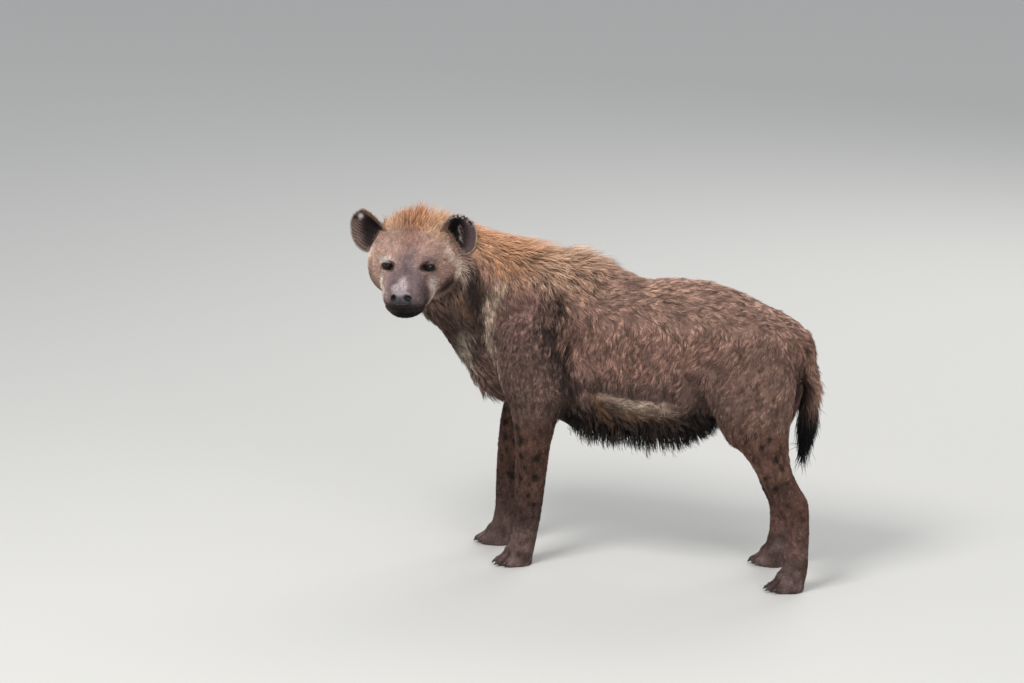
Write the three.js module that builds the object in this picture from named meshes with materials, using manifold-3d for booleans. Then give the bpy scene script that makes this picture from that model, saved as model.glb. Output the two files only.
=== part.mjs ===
// Spotted hyena, life size, standing on four paws and looking back over its left shoulder.
// Millimetres, +Z up. The body faces -X, its left side faces -Y, and the paws stand on the floor.
import * as THREE from "three";
import { mergeVertices } from "three/addons/utils/BufferGeometryUtils.js";
import Module from "manifold-3d";

const wasm = await Module();
wasm.setup();

// Driving dimensions.
const SHOULDER = 812; // height of the back over the shoulders, without the mane
const LOIN = 766; // height of the back over the belly
const BELLY = 345; // lowest point of the belly, without its fringe
const CHEST_HALF = 122; // half the width of the rib cage
const BELLY_HALF = 142; // half the width of the full belly
const HIP_HALF = 102; // half the width over the hips
const FORE_X = -262; // left fore paw, along the body
const HIND_X = 448; // left hind paw, along the body
const FORE_STEP = -100; // the right fore leg stands this much further forward
const HIND_STEP = -90; // and the right hind leg this much
const FORE_Y = 93; // half the track of the fore legs
const FORE_Y_RIGHT = 62; // the right fore leg stands closer to the middle
const HIND_Y = 98; // half the track of the hind legs
const WRIST_Z = 88; // where the fore paw parts from the leg
const ANKLE_Z = 74; // where the hind paw parts from the leg
const GAP = 0.35; // clearance between two nodes that touch
const SUNK = 9; // how deep a lock's root sits in the flesh

// The head's own frame: u runs from the ears to the nose, v to its left, w up.
const HEAD_AT = new THREE.Vector3(-566, -113, 787);
const HEAD_TURN = 99.5; // degrees the head is turned to the left of the body
const HEAD_LIFT = 4; // degrees the muzzle points above the horizon
const EYE = { u: 80, v: 56, w: 1, radius: 12.5 };
const EAR = { u: -10, v: 113, w: 72, long: 57, wide: 45, deep: 30, lean: 31 };
const NOSE = { u: 199, w: -62, half: 30, tall: 20, deep: 20 };

const COLOURS = { coat: "#8a6a55", mane: "#a9764f", muzzle: "#5b4a46", leg: "#6b4c3c", brush: "#1d1512" };

// A small seeded random number, so that each run gives the same locks.
let seed = 7;
function chance() {
  seed = (seed * 16807) % 2147483647;
  return seed / 2147483647;
}
const vary = (share) => 1 + share * (2 * chance() - 1);
const point = (x, y, z) => new THREE.Vector3(x, y, z);

// The curves through a list of stations. A station has its centre in at, and up, down and side
// say how far the form reaches each way from it. square above 2 makes the section fuller.
function form(stations, { lean = point(0, 0, 1), start = 0.12, end = 0.12, bulges = [] } = {}) {
  const path = new THREE.CatmullRomCurve3(stations.map((s) => s.at), false, "catmullrom", 0.5);
  const reach = new THREE.CatmullRomCurve3(
    stations.map((s) => point(s.up, s.down, s.side)), false, "catmullrom", 0.5);
  const full = new THREE.CatmullRomCurve3(
    stations.map((s) => point(s.square ?? 2, 0, 0)), false, "catmullrom", 0.5);
  return { path, reach, full, lean, start, end, bulges };
}

// How much a rounded end narrows a form at t: the quarter of a circle at each end.
function ending(shape, t) {
  const near = shape.start > 0 ? Math.min(1, t / shape.start) : 1;
  const far = shape.end > 0 ? Math.min(1, (1 - t) / shape.end) : 1;
  return Math.sqrt(Math.max(0, 1 - (1 - near) ** 2)) * Math.sqrt(Math.max(0, 1 - (1 - far) ** 2));
}

// The point on a form at t along it and at turn round it, where turn 0 is up and a quarter is to one side.
function onForm(shape, t, turn, grow = 0, rim = 1) {
  const centre = shape.path.getPoint(t);
  const along = shape.path.getTangent(t);
  const up = shape.lean.clone().addScaledVector(along, -along.dot(shape.lean)).normalize();
  const side = up.clone().cross(along);
  const reach = shape.reach.getPoint(t);
  const power = shape.full.getPoint(t).x;
  const c = Math.cos(turn);
  const s = Math.sin(turn);
  const fullness = (Math.abs(c) ** power + Math.abs(s) ** power) ** (-1 / power);
  const size = fullness * ending(shape, t) * rim;
  const out = up.multiplyScalar(c * (c > 0 ? reach.x : reach.y) * size);
  out.addScaledVector(side, s * reach.z * size);
  const far = out.length();
  if (far < 1e-6) return centre;
  const away = out.clone().divideScalar(far);
  const spot = centre.clone().add(out);
  let lift = grow * rim;
  for (const b of shape.bulges) lift += rim * b.lift * Math.exp(-spot.distanceToSquared(b.at) / b.reach ** 2);
  return spot.addScaledVector(away, lift);
}

// The way out of a form's surface at t and turn.
function outOf(shape, t, turn) {
  const step = 0.004;
  const here = onForm(shape, t, turn);
  const on = onForm(shape, Math.min(1, t + step), turn).sub(here);
  const round = onForm(shape, t, turn + 0.03).sub(here);
  const out = round.cross(on).normalize();
  return out.dot(here.sub(shape.path.getPoint(t))) < 0 ? out.negate() : out;
}

// Rings are closer together where the ends are round.
function spread(shape, share) {
  const round = Math.max(shape.start, shape.end) > 0 ? 0.55 : 0;
  return share * (1 - round) + round * (0.5 - 0.5 * Math.cos(Math.PI * share));
}

// A cylinder whose vertices are moved onto the form.
function wrap(shape, rings, around, grow = 0, from = 0, to = 1) {
  const g = new THREE.CylinderGeometry(1, 1, 1, around, rings);
  const p = g.getAttribute("position");
  for (let i = 0; i < p.count; i++) {
    const t = from + (to - from) * spread(shape, 0.5 - p.getY(i));
    const spot = onForm(shape, t, Math.atan2(p.getX(i), p.getZ(i)), grow, Math.hypot(p.getX(i), p.getZ(i)));
    p.setXYZ(i, spot.x, spot.y, spot.z);
  }
  return solid(g);
}

// A closed three.js geometry as a solid that can be joined and cut.
function solid(geometry) {
  const bare = geometry.clone();
  bare.deleteAttribute("normal");
  bare.deleteAttribute("uv");
  const merged = mergeVertices(bare, 1e-3);
  const index = merged.index.array;
  const kept = [];
  for (let i = 0; i < index.length; i += 3) {
    const [a, b, c] = [index[i], index[i + 1], index[i + 2]];
    if (a !== b && b !== c && a !== c) kept.push(a, b, c);
  }
  const vertProperties = new Float32Array(merged.getAttribute("position").array);
  return new wasm.Manifold(new wasm.Mesh({ numProp: 3, vertProperties, triVerts: new Uint32Array(kept) }));
}

// An ellipsoid with its own axes: reach gives its three half sizes along x, y and z before turn is applied.
function ball(at, reach, across = 16, down = 12, turn = new THREE.Quaternion()) {
  const g = new THREE.SphereGeometry(1, across, down);
  g.scale(reach.x, reach.y, reach.z).applyQuaternion(turn).translate(at.x, at.y, at.z);
  return solid(g);
}

// All of space on one side of a plane, as a large box. The plane's facing side is kept.
function halfSpace(at, facing) {
  const size = 1200;
  const g = new THREE.BoxGeometry(size, size, size).translate(0, 0, size / 2);
  g.applyQuaternion(new THREE.Quaternion().setFromUnitVectors(point(0, 0, 1), facing.clone().normalize()));
  return solid(g.translate(at.x, at.y, at.z));
}

// The largest closed body of a solid, with any loose scrap dropped.
function largest(shape) {
  return shape.decompose().sort((a, b) => b.volume() - a.volume())[0];
}

const nodes = [];
function node(name, shape, colour, roughness = 0.9) {
  const mesh = largest(shape).getMesh();
  const g = new THREE.BufferGeometry();
  g.setAttribute("position", new THREE.BufferAttribute(new Float32Array(mesh.vertProperties), 3));
  g.setIndex(new THREE.BufferAttribute(new Uint32Array(mesh.triVerts), 1));
  g.computeVertexNormals();
  const made = new THREE.Mesh(g, new THREE.MeshStandardMaterial({ color: colour, roughness, metalness: 0 }));
  made.name = name;
  nodes.push(made);
}

// The same bulge on both flanks.
const both = (x, y, z, reach, lift) => [
  { at: point(x, y, z), reach, lift },
  { at: point(x, -y, z), reach, lift },
];

// Spine: one long form from the rump to the head end of the neck. up and down reach the back and the belly.
const SPINE = [
  { at: point(458, 0, 585), up: 62, down: 75, side: 66 },
  { at: point(395, 0, 590), up: 98, down: 125, side: HIP_HALF - 8 },
  { at: point(300, 0, 575), up: 164, down: 160, side: HIP_HALF, square: 2.1 },
  { at: point(200, 0, 560), up: LOIN - 560, down: 170, side: HIP_HALF + 12, square: 2.2 },
  { at: point(100, 0, 545), up: LOIN - 548, down: 195, side: BELLY_HALF, square: 2.3 },
  { at: point(0, 0, 545), up: LOIN - 552, down: 545 - BELLY, side: BELLY_HALF, square: 2.3 },
  { at: point(-100, 0, 560), up: LOIN - 545, down: 215, side: CHEST_HALF + 8, square: 2.2 },
  { at: point(-200, 0, 590), up: SHOULDER - 594, down: 205, side: CHEST_HALF - 4, square: 2.1 },
  { at: point(-300, 0, 640), up: 186, down: 212, side: CHEST_HALF - 16 },
  { at: point(-385, 0, 697), up: 140, down: 192, side: 100 },
  { at: point(-462, -8, 748), up: 108, down: 152, side: 95 },
  { at: point(-525, -32, 784), up: 94, down: 118, side: 101 },
  { at: point(-579, -74, 804), up: 86, down: 100, side: 105 },
];
const BODY_BULGES = [
  ...both(-225, 112, 720, 80, 6), // shoulder blade
  ...both(215, 120, 470, 60, -10), // hollow of the flank
  ...both(-120, 118, 600, 60, -7), // hollow behind the shoulder
  ...both(455, 45, 560, 50, -8), // beside the tail
  { at: point(-385, -10, 435), reach: 72, lift: 34 }, // brisket
  { at: point(-552, -62, 662), reach: 60, lift: 24 }, // throat under the jaw
  ...both(-395, 70, 560, 70, 6), // breast muscle
];
const spine = form(SPINE, { start: 0.1, end: 0.06, bulges: BODY_BULGES });
const NECK_CUT = 0.745; // share of the spine where the neck begins
const SHARE_GAP = 0.0004; // a gap of about 0.35 mm along the spine

// Head: one form from the back of the skull to the lips, in its own frame.
const headFrame = new THREE.Matrix4().makeRotationZ(THREE.MathUtils.degToRad(HEAD_TURN))
  .multiply(new THREE.Matrix4().makeRotationY(THREE.MathUtils.degToRad(HEAD_LIFT)))
  .multiply(new THREE.Matrix4().makeScale(-1, -1, 1)).setPosition(HEAD_AT);
const inHead = (u, v, w) => point(u, v, w).applyMatrix4(headFrame);
const headTurn = new THREE.Quaternion().setFromRotationMatrix(headFrame);
const headUp = point(0, 0, 1).applyQuaternion(headTurn);

// One station of the head: its top and bottom heights, its half width and the height where it is widest.
function skull(u, top, bottom, side, widest, square = 2) {
  return { at: inHead(u, 0, widest), up: top - widest, down: widest - bottom, side, square };
}
const HEAD = [
  skull(-84, 66, -26, 46, 20),
  skull(-54, 108, -64, 88, 12),
  skull(-26, 112, -86, 108, 5),
  skull(2, 100, -97, 116, 0, 2.1),
  skull(35, 82, -108, 110, -8, 2.1),
  skull(75, 44, -113, 80, -24, 2.2),
  skull(110, 12, -116, 60, -46, 2.3),
  skull(150, -14, -118, 54, -64, 2.4),
  skull(185, -32, -117, 49, -74, 2.4),
  skull(206, -44, -108, 36, -77, 2.2),
];
const pair = (u, v, w, reach, lift) => [
  { at: inHead(u, v, w), reach, lift },
  { at: inHead(u, -v, w), reach, lift },
];
const HEAD_BULGES = [
  ...pair(64, 54, 26, 22, 9), // brow over each eye
  ...pair(84, 62, -3, 20, -7), // socket
  ...pair(60, 78, -30, 30, 5), // cheek bone
  ...pair(25, 98, -55, 38, 6), // jaw muscle
  ...pair(110, 50, -25, 24, -5), // hollow in front of the eye
  ...pair(178, 38, -72, 24, 5), // whisker pad
  ...pair(30, 45, 88, 30, -4), // temple beside the crest
  { at: inHead(125, 0, 10), reach: 28, lift: -4 }, // bridge of the muzzle
  ...pair(150, 50, -98, 18, 4), // upper lip
  { at: inHead(185, 0, -105), reach: 22, lift: 3 }, // chin
];
const head = form(HEAD, { lean: headUp, start: 0.12, end: 0.09, bulges: HEAD_BULGES });

// Legs. turn 0 of a section faces forward.
const FORWARD = point(-1, 0, 0);
function foreLeg(side, step, track) {
  const y = (share) => side * (track * share + FORE_Y * (1 - share));
  const x = (share, offset) => FORE_X + offset + step * share;
  return form([
    { at: point(x(0.0, 22), side * 70, 706), up: 50, down: 52, side: 38 },
    { at: point(x(0.1, 4), side * 84, 620), up: 84, down: 84, side: 50 },
    { at: point(x(0.3, 2), side * 88, 520), up: 88, down: 90, side: 54 },
    { at: point(x(0.6, 18), y(0.5), 430), up: 70, down: 72, side: 50 },
    { at: point(x(0.9, 13), y(0.8), 340), up: 52, down: 51, side: 41 },
    { at: point(x(1, 8), y(1), 250), up: 44, down: 43, side: 36 },
    { at: point(x(1, 1), y(1), 165), up: 41, down: 39, side: 34 },
    { at: point(x(1, -5), y(1), 110), up: 36, down: 36, side: 32 },
    { at: point(x(1, -14), y(1), 62), up: 30, down: 32, side: 34 },
  ], { lean: FORWARD, start: 0.16, end: 0 });
}
function hindLeg(side, step) {
  const x = (share, offset) => HIND_X + offset + step * share;
  const y = side * HIND_Y;
  return form([
    { at: point(x(0.0, -112), side * 56, 690), up: 60, down: 56, side: 42 },
    { at: point(x(0.0, -110), side * 70, 615), up: 98, down: 88, side: 56 },
    { at: point(x(0.05, -108), side * 80, 520), up: 122, down: 98, side: 58, square: 2.4 },
    { at: point(x(0.3, -96), y * 0.96, 430), up: 98, down: 82, side: 52, square: 2.3 },
    { at: point(x(0.65, -74), y, 355), up: 62, down: 58, side: 40 },
    { at: point(x(0.85, -50), y, 292), up: 46, down: 44, side: 31 },
    { at: point(x(1, -14), y, 222), up: 41, down: 44, side: 27 },
    { at: point(x(1, 2), y, 170), up: 34, down: 36, side: 25 },
    { at: point(x(1, 4), y, 110), up: 31, down: 32, side: 25 },
    { at: point(x(1, 0), y, 56), up: 32, down: 34, side: 30 },
  ], { lean: FORWARD, start: 0.14, end: 0 });
}

// A paw: a pad that tapers from the leg, four toes in a fan and a blunt claw on each, cut flat by the floor.
function paw(leg, heading, size, top) {
  const at = leg.path.getPoint(1);
  let t = 1;
  while (leg.path.getPoint(t).z < top) t -= 0.002;
  const wrist = leg.reach.getPoint(t);
  const turn = new THREE.Quaternion().setFromAxisAngle(point(0, 0, 1), THREE.MathUtils.degToRad(heading));
  const place = (forward, side, up) => point(-forward, -side, up).applyQuaternion(turn).multiplyScalar(size)
    .add(point(at.x, at.y, 0));
  const lead = place(1, 0, 0).sub(place(0, 0, 0)).normalize();
  const pad = form([
    { at: leg.path.getPoint(t), up: wrist.x, down: wrist.y, side: wrist.z },
    { at: place(4, 0, 48), up: 33, down: 36, side: 34 },
    { at: place(12, 0, 26), up: 44, down: 38, side: 40 },
    { at: place(16, 0, 4), up: 48, down: 38, side: 41 },
    { at: place(16, 0, -12), up: 42, down: 34, side: 36 },
  ], { lean: lead, start: 0, end: 0.2 });
  const pieces = [wrap(pad, 5, 13)];
  for (const [side, forward, spin] of [[-27, 44, -16], [-10, 57, -5], [10, 57, 5], [27, 44, 16]]) {
    const yaw = turn.clone().multiply(
      new THREE.Quaternion().setFromAxisAngle(point(0, 0, 1), THREE.MathUtils.degToRad(-spin)));
    const reach = point(24, 11.5, 16).multiplyScalar(size);
    pieces.push(ball(place(forward, side, 13), reach, 8, 5, yaw));
    const claw = new THREE.ConeGeometry(4.8, 24, 4).rotateZ(Math.PI / 2 + 0.5).applyQuaternion(yaw);
    const tip = place(forward + 25, side + spin * 0.32, 9);
    pieces.push(solid(claw.translate(tip.x, tip.y, tip.z)));
  }
  return wasm.Manifold.union(pieces).intersect(halfSpace(point(at.x, at.y, 0), point(0, 0, 1)));
}

// A flat lock that tapers to a point. It leaves its root along out, bows away from the surface by
// the share bow of its length, and ends along lie.
function lock(root, out, lie, { length, width, thick, bow }) {
  const place = (share, away) => root.clone().addScaledVector(lie, share * length)
    .addScaledVector(out, away * length * bow);
  return form([
    { at: root.clone().addScaledVector(out, -SUNK), up: thick, down: thick, side: width },
    { at: place(0.3, 0.85), up: thick, down: thick, side: width * 1.05 },
    { at: place(0.68, 1), up: thick * 0.6, down: thick * 0.6, side: width * 0.58 },
    { at: place(1, 0.55), up: 0, down: 0, side: 0 },
  ], { lean: out, start: 0, end: 0 });
}

// Locks in staggered rows over a stretch of a form. dress gives each lock's size and lie, or nothing.
function rows(shape, from, to, count, turns, dress) {
  const made = [];
  for (let i = 0; i < count; i++) {
    for (let j = 0; j < turns.length; j++) {
      const t = from + (to - from) * ((i + 0.5 * (j % 2) + 0.3 * chance()) / count);
      const turn = turns[j] + 0.07 * (chance() - 0.5);
      const root = onForm(shape, t, turn);
      const out = outOf(shape, t, turn);
      const wish = dress(t, turn, root, out);
      if (!wish) continue;
      const flat = wish.lie.clone().addScaledVector(out, -wish.lie.dot(out)).normalize();
      const lie = flat.addScaledVector(out, wish.rise + 0.15 * (chance() - 0.5)).normalize();
      const size = { ...wish, length: wish.length * vary(0.18), width: wish.width * vary(0.15) };
      made.push({ ...lock(root, out, lie, size), sides: wish.sides });
    }
  }
  return made;
}

// Locks joined into one solid.
const hair = (locks, grow = 0) => wasm.Manifold.union(locks.map((one) => wrap(one, 3, one.sides, grow)));

// Eyes and the lids round them.
const eyes = {};
const lids = {};
for (const [name, side] of [["left", 1], ["right", -1]]) {
  const at = inHead(EYE.u, side * EYE.v, EYE.w);
  eyes[name] = { ball: ball(at, point(1, 1, 1).multiplyScalar(EYE.radius), 14, 9),
    room: ball(at, point(1, 1, 1).multiplyScalar(EYE.radius + GAP), 14, 9), at, side };
  lids[name] = ball(at, point(1, 1, 1).multiplyScalar(EYE.radius + 3.2), 14, 9);
}

// The opening between two lids: a lens-shaped window that looks out from the eye.
function lidWindow({ at, side }) {
  const gaze = inHead(EYE.u + 60, side * (EYE.v + 26), EYE.w + 10).sub(at).normalize();
  const turn = new THREE.Quaternion().setFromUnitVectors(point(0, 0, 1), gaze);
  const across = point(0, 1, 0).applyQuaternion(headTurn);
  const flat = across.sub(gaze.clone().multiplyScalar(across.dot(gaze))).normalize();
  const now = point(1, 0, 0).applyQuaternion(turn);
  const spin = Math.atan2(now.clone().cross(flat).dot(gaze), now.dot(flat));
  turn.premultiply(new THREE.Quaternion().setFromAxisAngle(gaze, spin));
  const half = 13.5;
  const lens = new THREE.Shape();
  lens.moveTo(-half, -1);
  lens.quadraticCurveTo(0, 11, half, 0);
  lens.quadraticCurveTo(0, -12, -half, -1);
  const g = new THREE.ExtrudeGeometry(lens, { depth: 40, bevelEnabled: false, curveSegments: 5 });
  return solid(g.applyQuaternion(turn).translate(at.x, at.y, at.z));
}

// The mouth: a thin curved slit round the muzzle. Behind its corners a finer cut parts the lower jaw.
function mouthSlit() {
  const slit = 1.7;
  const line = new THREE.CatmullRomCurve3([
    point(240, -94, 0), point(200, -92, 0), point(165, -87, 0), point(125, -93, 0), point(96, -82, 0),
  ]).getPoints(14);
  const outline = new THREE.Shape();
  outline.moveTo(line[0].x + 10, line[0].y);
  for (const p of line) outline.lineTo(p.x, p.y + slit * 0.5);
  const back = line[line.length - 1];
  outline.lineTo(back.x - 12, back.y - 18);
  outline.lineTo(back.x - 4, -140);
  outline.lineTo(back.x - 4 + GAP, -140);
  outline.lineTo(back.x - 12 + GAP * 1.4, back.y - 18);
  for (const p of [...line].reverse()) outline.lineTo(p.x, p.y - slit * 0.5);
  const g = new THREE.ExtrudeGeometry(outline, { depth: 260, bevelEnabled: false });
  g.translate(0, 0, -130).rotateX(Math.PI / 2).applyMatrix4(headFrame);
  return solid(g);
}

// Nose: a broad pad with a nostril each side and a groove between them.
function nosePad(grow = 0) {
  const at = inHead(NOSE.u, 0, NOSE.w);
  return ball(at, point(NOSE.deep + grow, NOSE.half + grow, NOSE.tall + grow), 15, 8, headTurn);
}
function nostrils() {
  const pieces = [];
  for (const side of [1, -1]) {
    const turn = headTurn.clone().multiply(
      new THREE.Quaternion().setFromAxisAngle(point(0, 0, 1), side * 0.5));
    pieces.push(ball(inHead(NOSE.u + 18, side * 17, NOSE.w), point(10, 7, 6.6), 10, 6, turn));
  }
  pieces.push(ball(inHead(NOSE.u + 24, 0, NOSE.w - 12), point(8, 1.3, 12), 8, 5, headTurn));
  return wasm.Manifold.union(pieces);
}

// Ear: a rounded cup, hollowed from the front. lean turns its long side outwards and down.
function ear(side, grow = 0) {
  const spin = (a, x, y, z) => new THREE.Quaternion().setFromAxisAngle(point(x, y, z), a);
  const turn = headTurn.clone().multiply(spin(side * 0.42, 0, 0, 1))
    .multiply(spin(side * THREE.MathUtils.degToRad(EAR.lean), 1, 0, 0));
  const place = (u, v, w) => point(u, v, w).applyQuaternion(turn).add(inHead(EAR.u, side * EAR.v, EAR.w));
  const root = ball(place(-6, -side * 34, -14), point(22 + grow, 30 + grow, 34 + grow), 10, 7, turn);
  const shell = ball(place(0, 0, 0), point(EAR.deep + grow, EAR.wide + grow, EAR.long + grow), 16, 10, turn);
  const outer = shell.add(root);
  if (grow) return outer;
  const cup = ball(place(20, -side * 2, 1), point(EAR.deep + 9, EAR.wide - 5, EAR.long - 5), 14, 9, turn);
  return outer.subtract(cup);
}

// Tail: a thin core with long locks that hang round its lower half.
const TAIL = [
  { at: point(408, 0, 655), up: 28, down: 28, side: 28 },
  { at: point(440, 0, 618), up: 25, down: 25, side: 26 },
  { at: point(451, 0, 560), up: 22, down: 22, side: 22 },
  { at: point(451, 0, 480), up: 21, down: 21, side: 21 },
  { at: point(448, 0, 400), up: 15, down: 15, side: 15 },
  { at: point(444, 0, 345), up: 7, down: 7, side: 7 },
];
const tail = form(TAIL, { lean: point(1, 0, 0), start: 0.08, end: 0.1 });
const DOWN = point(0, 0, -1);

const legs = {
  foreleg_left: foreLeg(-1, 0, FORE_Y),
  foreleg_right: foreLeg(1, FORE_STEP, FORE_Y_RIGHT),
  hindleg_left: hindLeg(-1, 0),
  hindleg_right: hindLeg(1, HIND_STEP),
};
const LEG_RINGS = 15;
const LEG_SIDES = 13;
const legRoom = wasm.Manifold.union(
  Object.values(legs).map((shape) => wrap(shape, LEG_RINGS, LEG_SIDES, GAP * 1.6)));

// Mane: bristly locks that stand on the crest and lie down the sides. They grow from the loin to the nape.
const MANE_TURNS = [0.02, 0.32, -0.32, 0.68, -0.68];
const NECK_TURNS = [...MANE_TURNS, 1.06, -1.06];
function maneLock(t, turn) {
  const low = Math.min(1, Math.abs(turn) / 0.7);
  const grown = THREE.MathUtils.smoothstep(t, 0.42, 0.62);
  return {
    lie: point(1, 0, -0.8 * low),
    rise: 0.28 * (1 - low) + 0.1,
    length: 50 + 16 * grown,
    width: 14 + 4 * low,
    thick: 9 - 4.5 * low,
    bow: 0.16,
    sides: 3,
  };
}

// Crest: the mane goes on over the back of the skull, where it stands up between the ears.
const CREST_TURNS = [0.12, 0.38, -0.14, 0.64, -0.4, -0.64];
function crestLock(t, turn) {
  const side = Math.min(1, Math.abs(turn - 0.1) / 0.75);
  return {
    lie: inHead(-1, -0.8 * Math.sin(turn), 0).sub(inHead(0, 0, 0)),
    rise: 1.8 - 0.9 * side,
    length: 46 - 16 * side,
    width: 14,
    thick: 8,
    bow: 0.1,
    sides: 3,
  };
}

// Belly fringe: wet pointed locks that hang from the underside.
const FRINGE_TURNS = [Math.PI - 0.2, Math.PI + 0.22];
function fringeLock(t, turn, root) {
  if (root.x < -150 || root.x > 215) return null;
  const length = 40 * vary(0.2);
  return { lie: point(1, 0, -0.2), rise: 1.3, length, width: 8, thick: 15, bow: 0.12, sides: 4 };
}

// Tail brush: long locks that hang round the lower tail and end in a point below it.
const BRUSH_TURNS = [0.2, 1.45, 2.7, 3.95, 5.2];
function brushLock(t) {
  return { lie: point(0, 0, -1), rise: 0.02, length: 92 - 26 * t, width: 15, thick: 5, bow: 0.07, sides: 3 };
}

const BODY_RINGS = 20;
const BODY_SIDES = 23;
const headRoom = wrap(head, 22, 24, GAP * 1.6);
const tailRoom = wrap(tail, 12, 10, GAP * 1.6);
const earRoom = wasm.Manifold.union([ear(1, 1), ear(-1, 1)]);
const cutAt = spine.path.getPoint(NECK_CUT);
const cutFacing = spine.path.getTangent(NECK_CUT);

// Torso.
let torso = wrap(spine, BODY_RINGS, BODY_SIDES, 0, 0, NECK_CUT - SHARE_GAP);
const bodyLocks = [
  ...rows(spine, 0.45, NECK_CUT - 0.008, 8, MANE_TURNS, maneLock),
  ...rows(spine, 0.19, 0.57, 19, FRINGE_TURNS, fringeLock),
];
torso = torso.add(hair(bodyLocks));
torso = torso.intersect(halfSpace(cutAt.clone().addScaledVector(cutFacing, -GAP), cutFacing.clone().negate()));
node("torso", torso.subtract(legRoom).subtract(tailRoom), COLOURS.coat);

// Neck.
let neck = wrap(spine, 9, BODY_SIDES, 0, NECK_CUT, 1);
neck = neck.add(hair(rows(spine, NECK_CUT + 0.016, 0.98, 6, NECK_TURNS, maneLock)));
neck = neck.intersect(halfSpace(cutAt, cutFacing));
const crestLocks = rows(head, 0.1, 0.31, 3, CREST_TURNS, crestLock);
const crest = hair(crestLocks).subtract(wrap(spine, 9, BODY_SIDES, GAP * 1.6, NECK_CUT, 1)).subtract(earRoom);
const crestRoom = hair(crestLocks, GAP * 1.6);
node("neck", neck.subtract(headRoom).subtract(crestRoom).subtract(earRoom), COLOURS.mane);

// Head, lower jaw and what they carry.
let face = wasm.Manifold.union([wrap(head, 22, 24), lids.left, lids.right, crest]);
for (const eye of Object.values(eyes)) face = face.subtract(lidWindow(eye)).subtract(eye.room);
face = face.subtract(nosePad(GAP)).subtract(mouthSlit());
const [upper, jaw] = face.decompose().sort((a, b) => b.volume() - a.volume());
node("head", upper, COLOURS.coat);
node("lower_jaw", jaw, COLOURS.muzzle);
node("nose", nosePad().subtract(nostrils()), COLOURS.muzzle, 0.5);
node("eye_left", eyes.left.ball, "#20140e", 0.1);
node("eye_right", eyes.right.ball, "#20140e", 0.1);
node("ear_left", ear(1).subtract(headRoom), COLOURS.muzzle);
node("ear_right", ear(-1).subtract(headRoom), COLOURS.muzzle);

// Legs and paws. A leg ends in a level cut, and its paw starts a gap below it.
const PAW_TURN = { foreleg_left: 38, foreleg_right: 12, hindleg_left: 30, hindleg_right: 6 };
for (const [name, shape] of Object.entries(legs)) {
  const fore = name.startsWith("fore");
  const top = fore ? WRIST_Z : ANKLE_Z;
  const leg = wrap(shape, LEG_RINGS, LEG_SIDES).intersect(halfSpace(point(0, 0, top), point(0, 0, 1)));
  node(name, leg, COLOURS.leg);
  const foot = paw(shape, PAW_TURN[name], fore ? 1 : 0.96, top + 6);
  node(name.replace("leg", "paw"), foot.intersect(halfSpace(point(0, 0, top - GAP), DOWN)), COLOURS.leg);
}

// Tail.
const brush = hair(rows(tail, 0.3, 0.9, 5, BRUSH_TURNS, brushLock));
const bodyRoom = wrap(spine, BODY_RINGS, BODY_SIDES, GAP * 1.6, 0, NECK_CUT).add(legRoom);
node("tail", wrap(tail, 12, 10).add(brush.subtract(bodyRoom)), COLOURS.brush);

// The origin is on the floor under the middle of the whole animal.
const hyena = new THREE.Group();
hyena.add(...nodes);
const box = new THREE.Box3().setFromObject(hyena);
const middle = box.getCenter(new THREE.Vector3());
hyena.position.set(-middle.x, -middle.y, -box.min.z);

export default hyena;
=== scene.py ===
"""Spotted hyena, life size, standing on four paws and looking back over its left shoulder.

One skin stands for the solids of flesh. A coat of solid tufts grows on it and follows the lie of the
hair. Eyes, eyelids, nose, ears and claws are pieces of their own. Shapes are worked out in millimetres
in the animal's own frame: the body faces -X, its left side faces -Y, the paws stand on the floor.
"""
import math
from itertools import product

import bpy
import numpy as np
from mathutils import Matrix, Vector
from mathutils.kdtree import KDTree


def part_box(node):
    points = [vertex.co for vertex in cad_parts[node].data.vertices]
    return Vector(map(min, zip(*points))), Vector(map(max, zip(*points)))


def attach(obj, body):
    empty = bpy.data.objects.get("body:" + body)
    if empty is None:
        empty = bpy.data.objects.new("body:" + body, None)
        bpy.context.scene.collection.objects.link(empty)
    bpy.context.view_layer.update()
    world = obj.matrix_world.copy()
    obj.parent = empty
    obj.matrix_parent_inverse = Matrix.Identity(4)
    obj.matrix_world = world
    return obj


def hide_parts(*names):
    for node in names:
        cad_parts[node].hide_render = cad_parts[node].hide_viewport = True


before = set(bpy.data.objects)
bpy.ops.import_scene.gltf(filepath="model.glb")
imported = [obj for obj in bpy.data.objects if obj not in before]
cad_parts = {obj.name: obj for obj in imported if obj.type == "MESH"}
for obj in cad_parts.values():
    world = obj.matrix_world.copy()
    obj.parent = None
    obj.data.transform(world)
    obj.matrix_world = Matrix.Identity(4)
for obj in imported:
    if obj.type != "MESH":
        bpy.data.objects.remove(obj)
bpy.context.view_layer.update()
MM = 0.001
rng = np.random.default_rng(11)

# The head's own frame: u runs from the ears to the nose, v to its left, w up.
HEAD_AT = np.array([-566.0, -113.0, 787.0])
HEAD_TURN = math.radians(99.5)
HEAD_LIFT = math.radians(4)
EYE_U, EYE_V, EYE_W, EYE_RADIUS = 80, 56, 1, 12.5
EAR_U, EAR_V, EAR_W = -10, 113, 72
EAR_DEEP, EAR_HOLLOW = 30, (2, 8)
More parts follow.
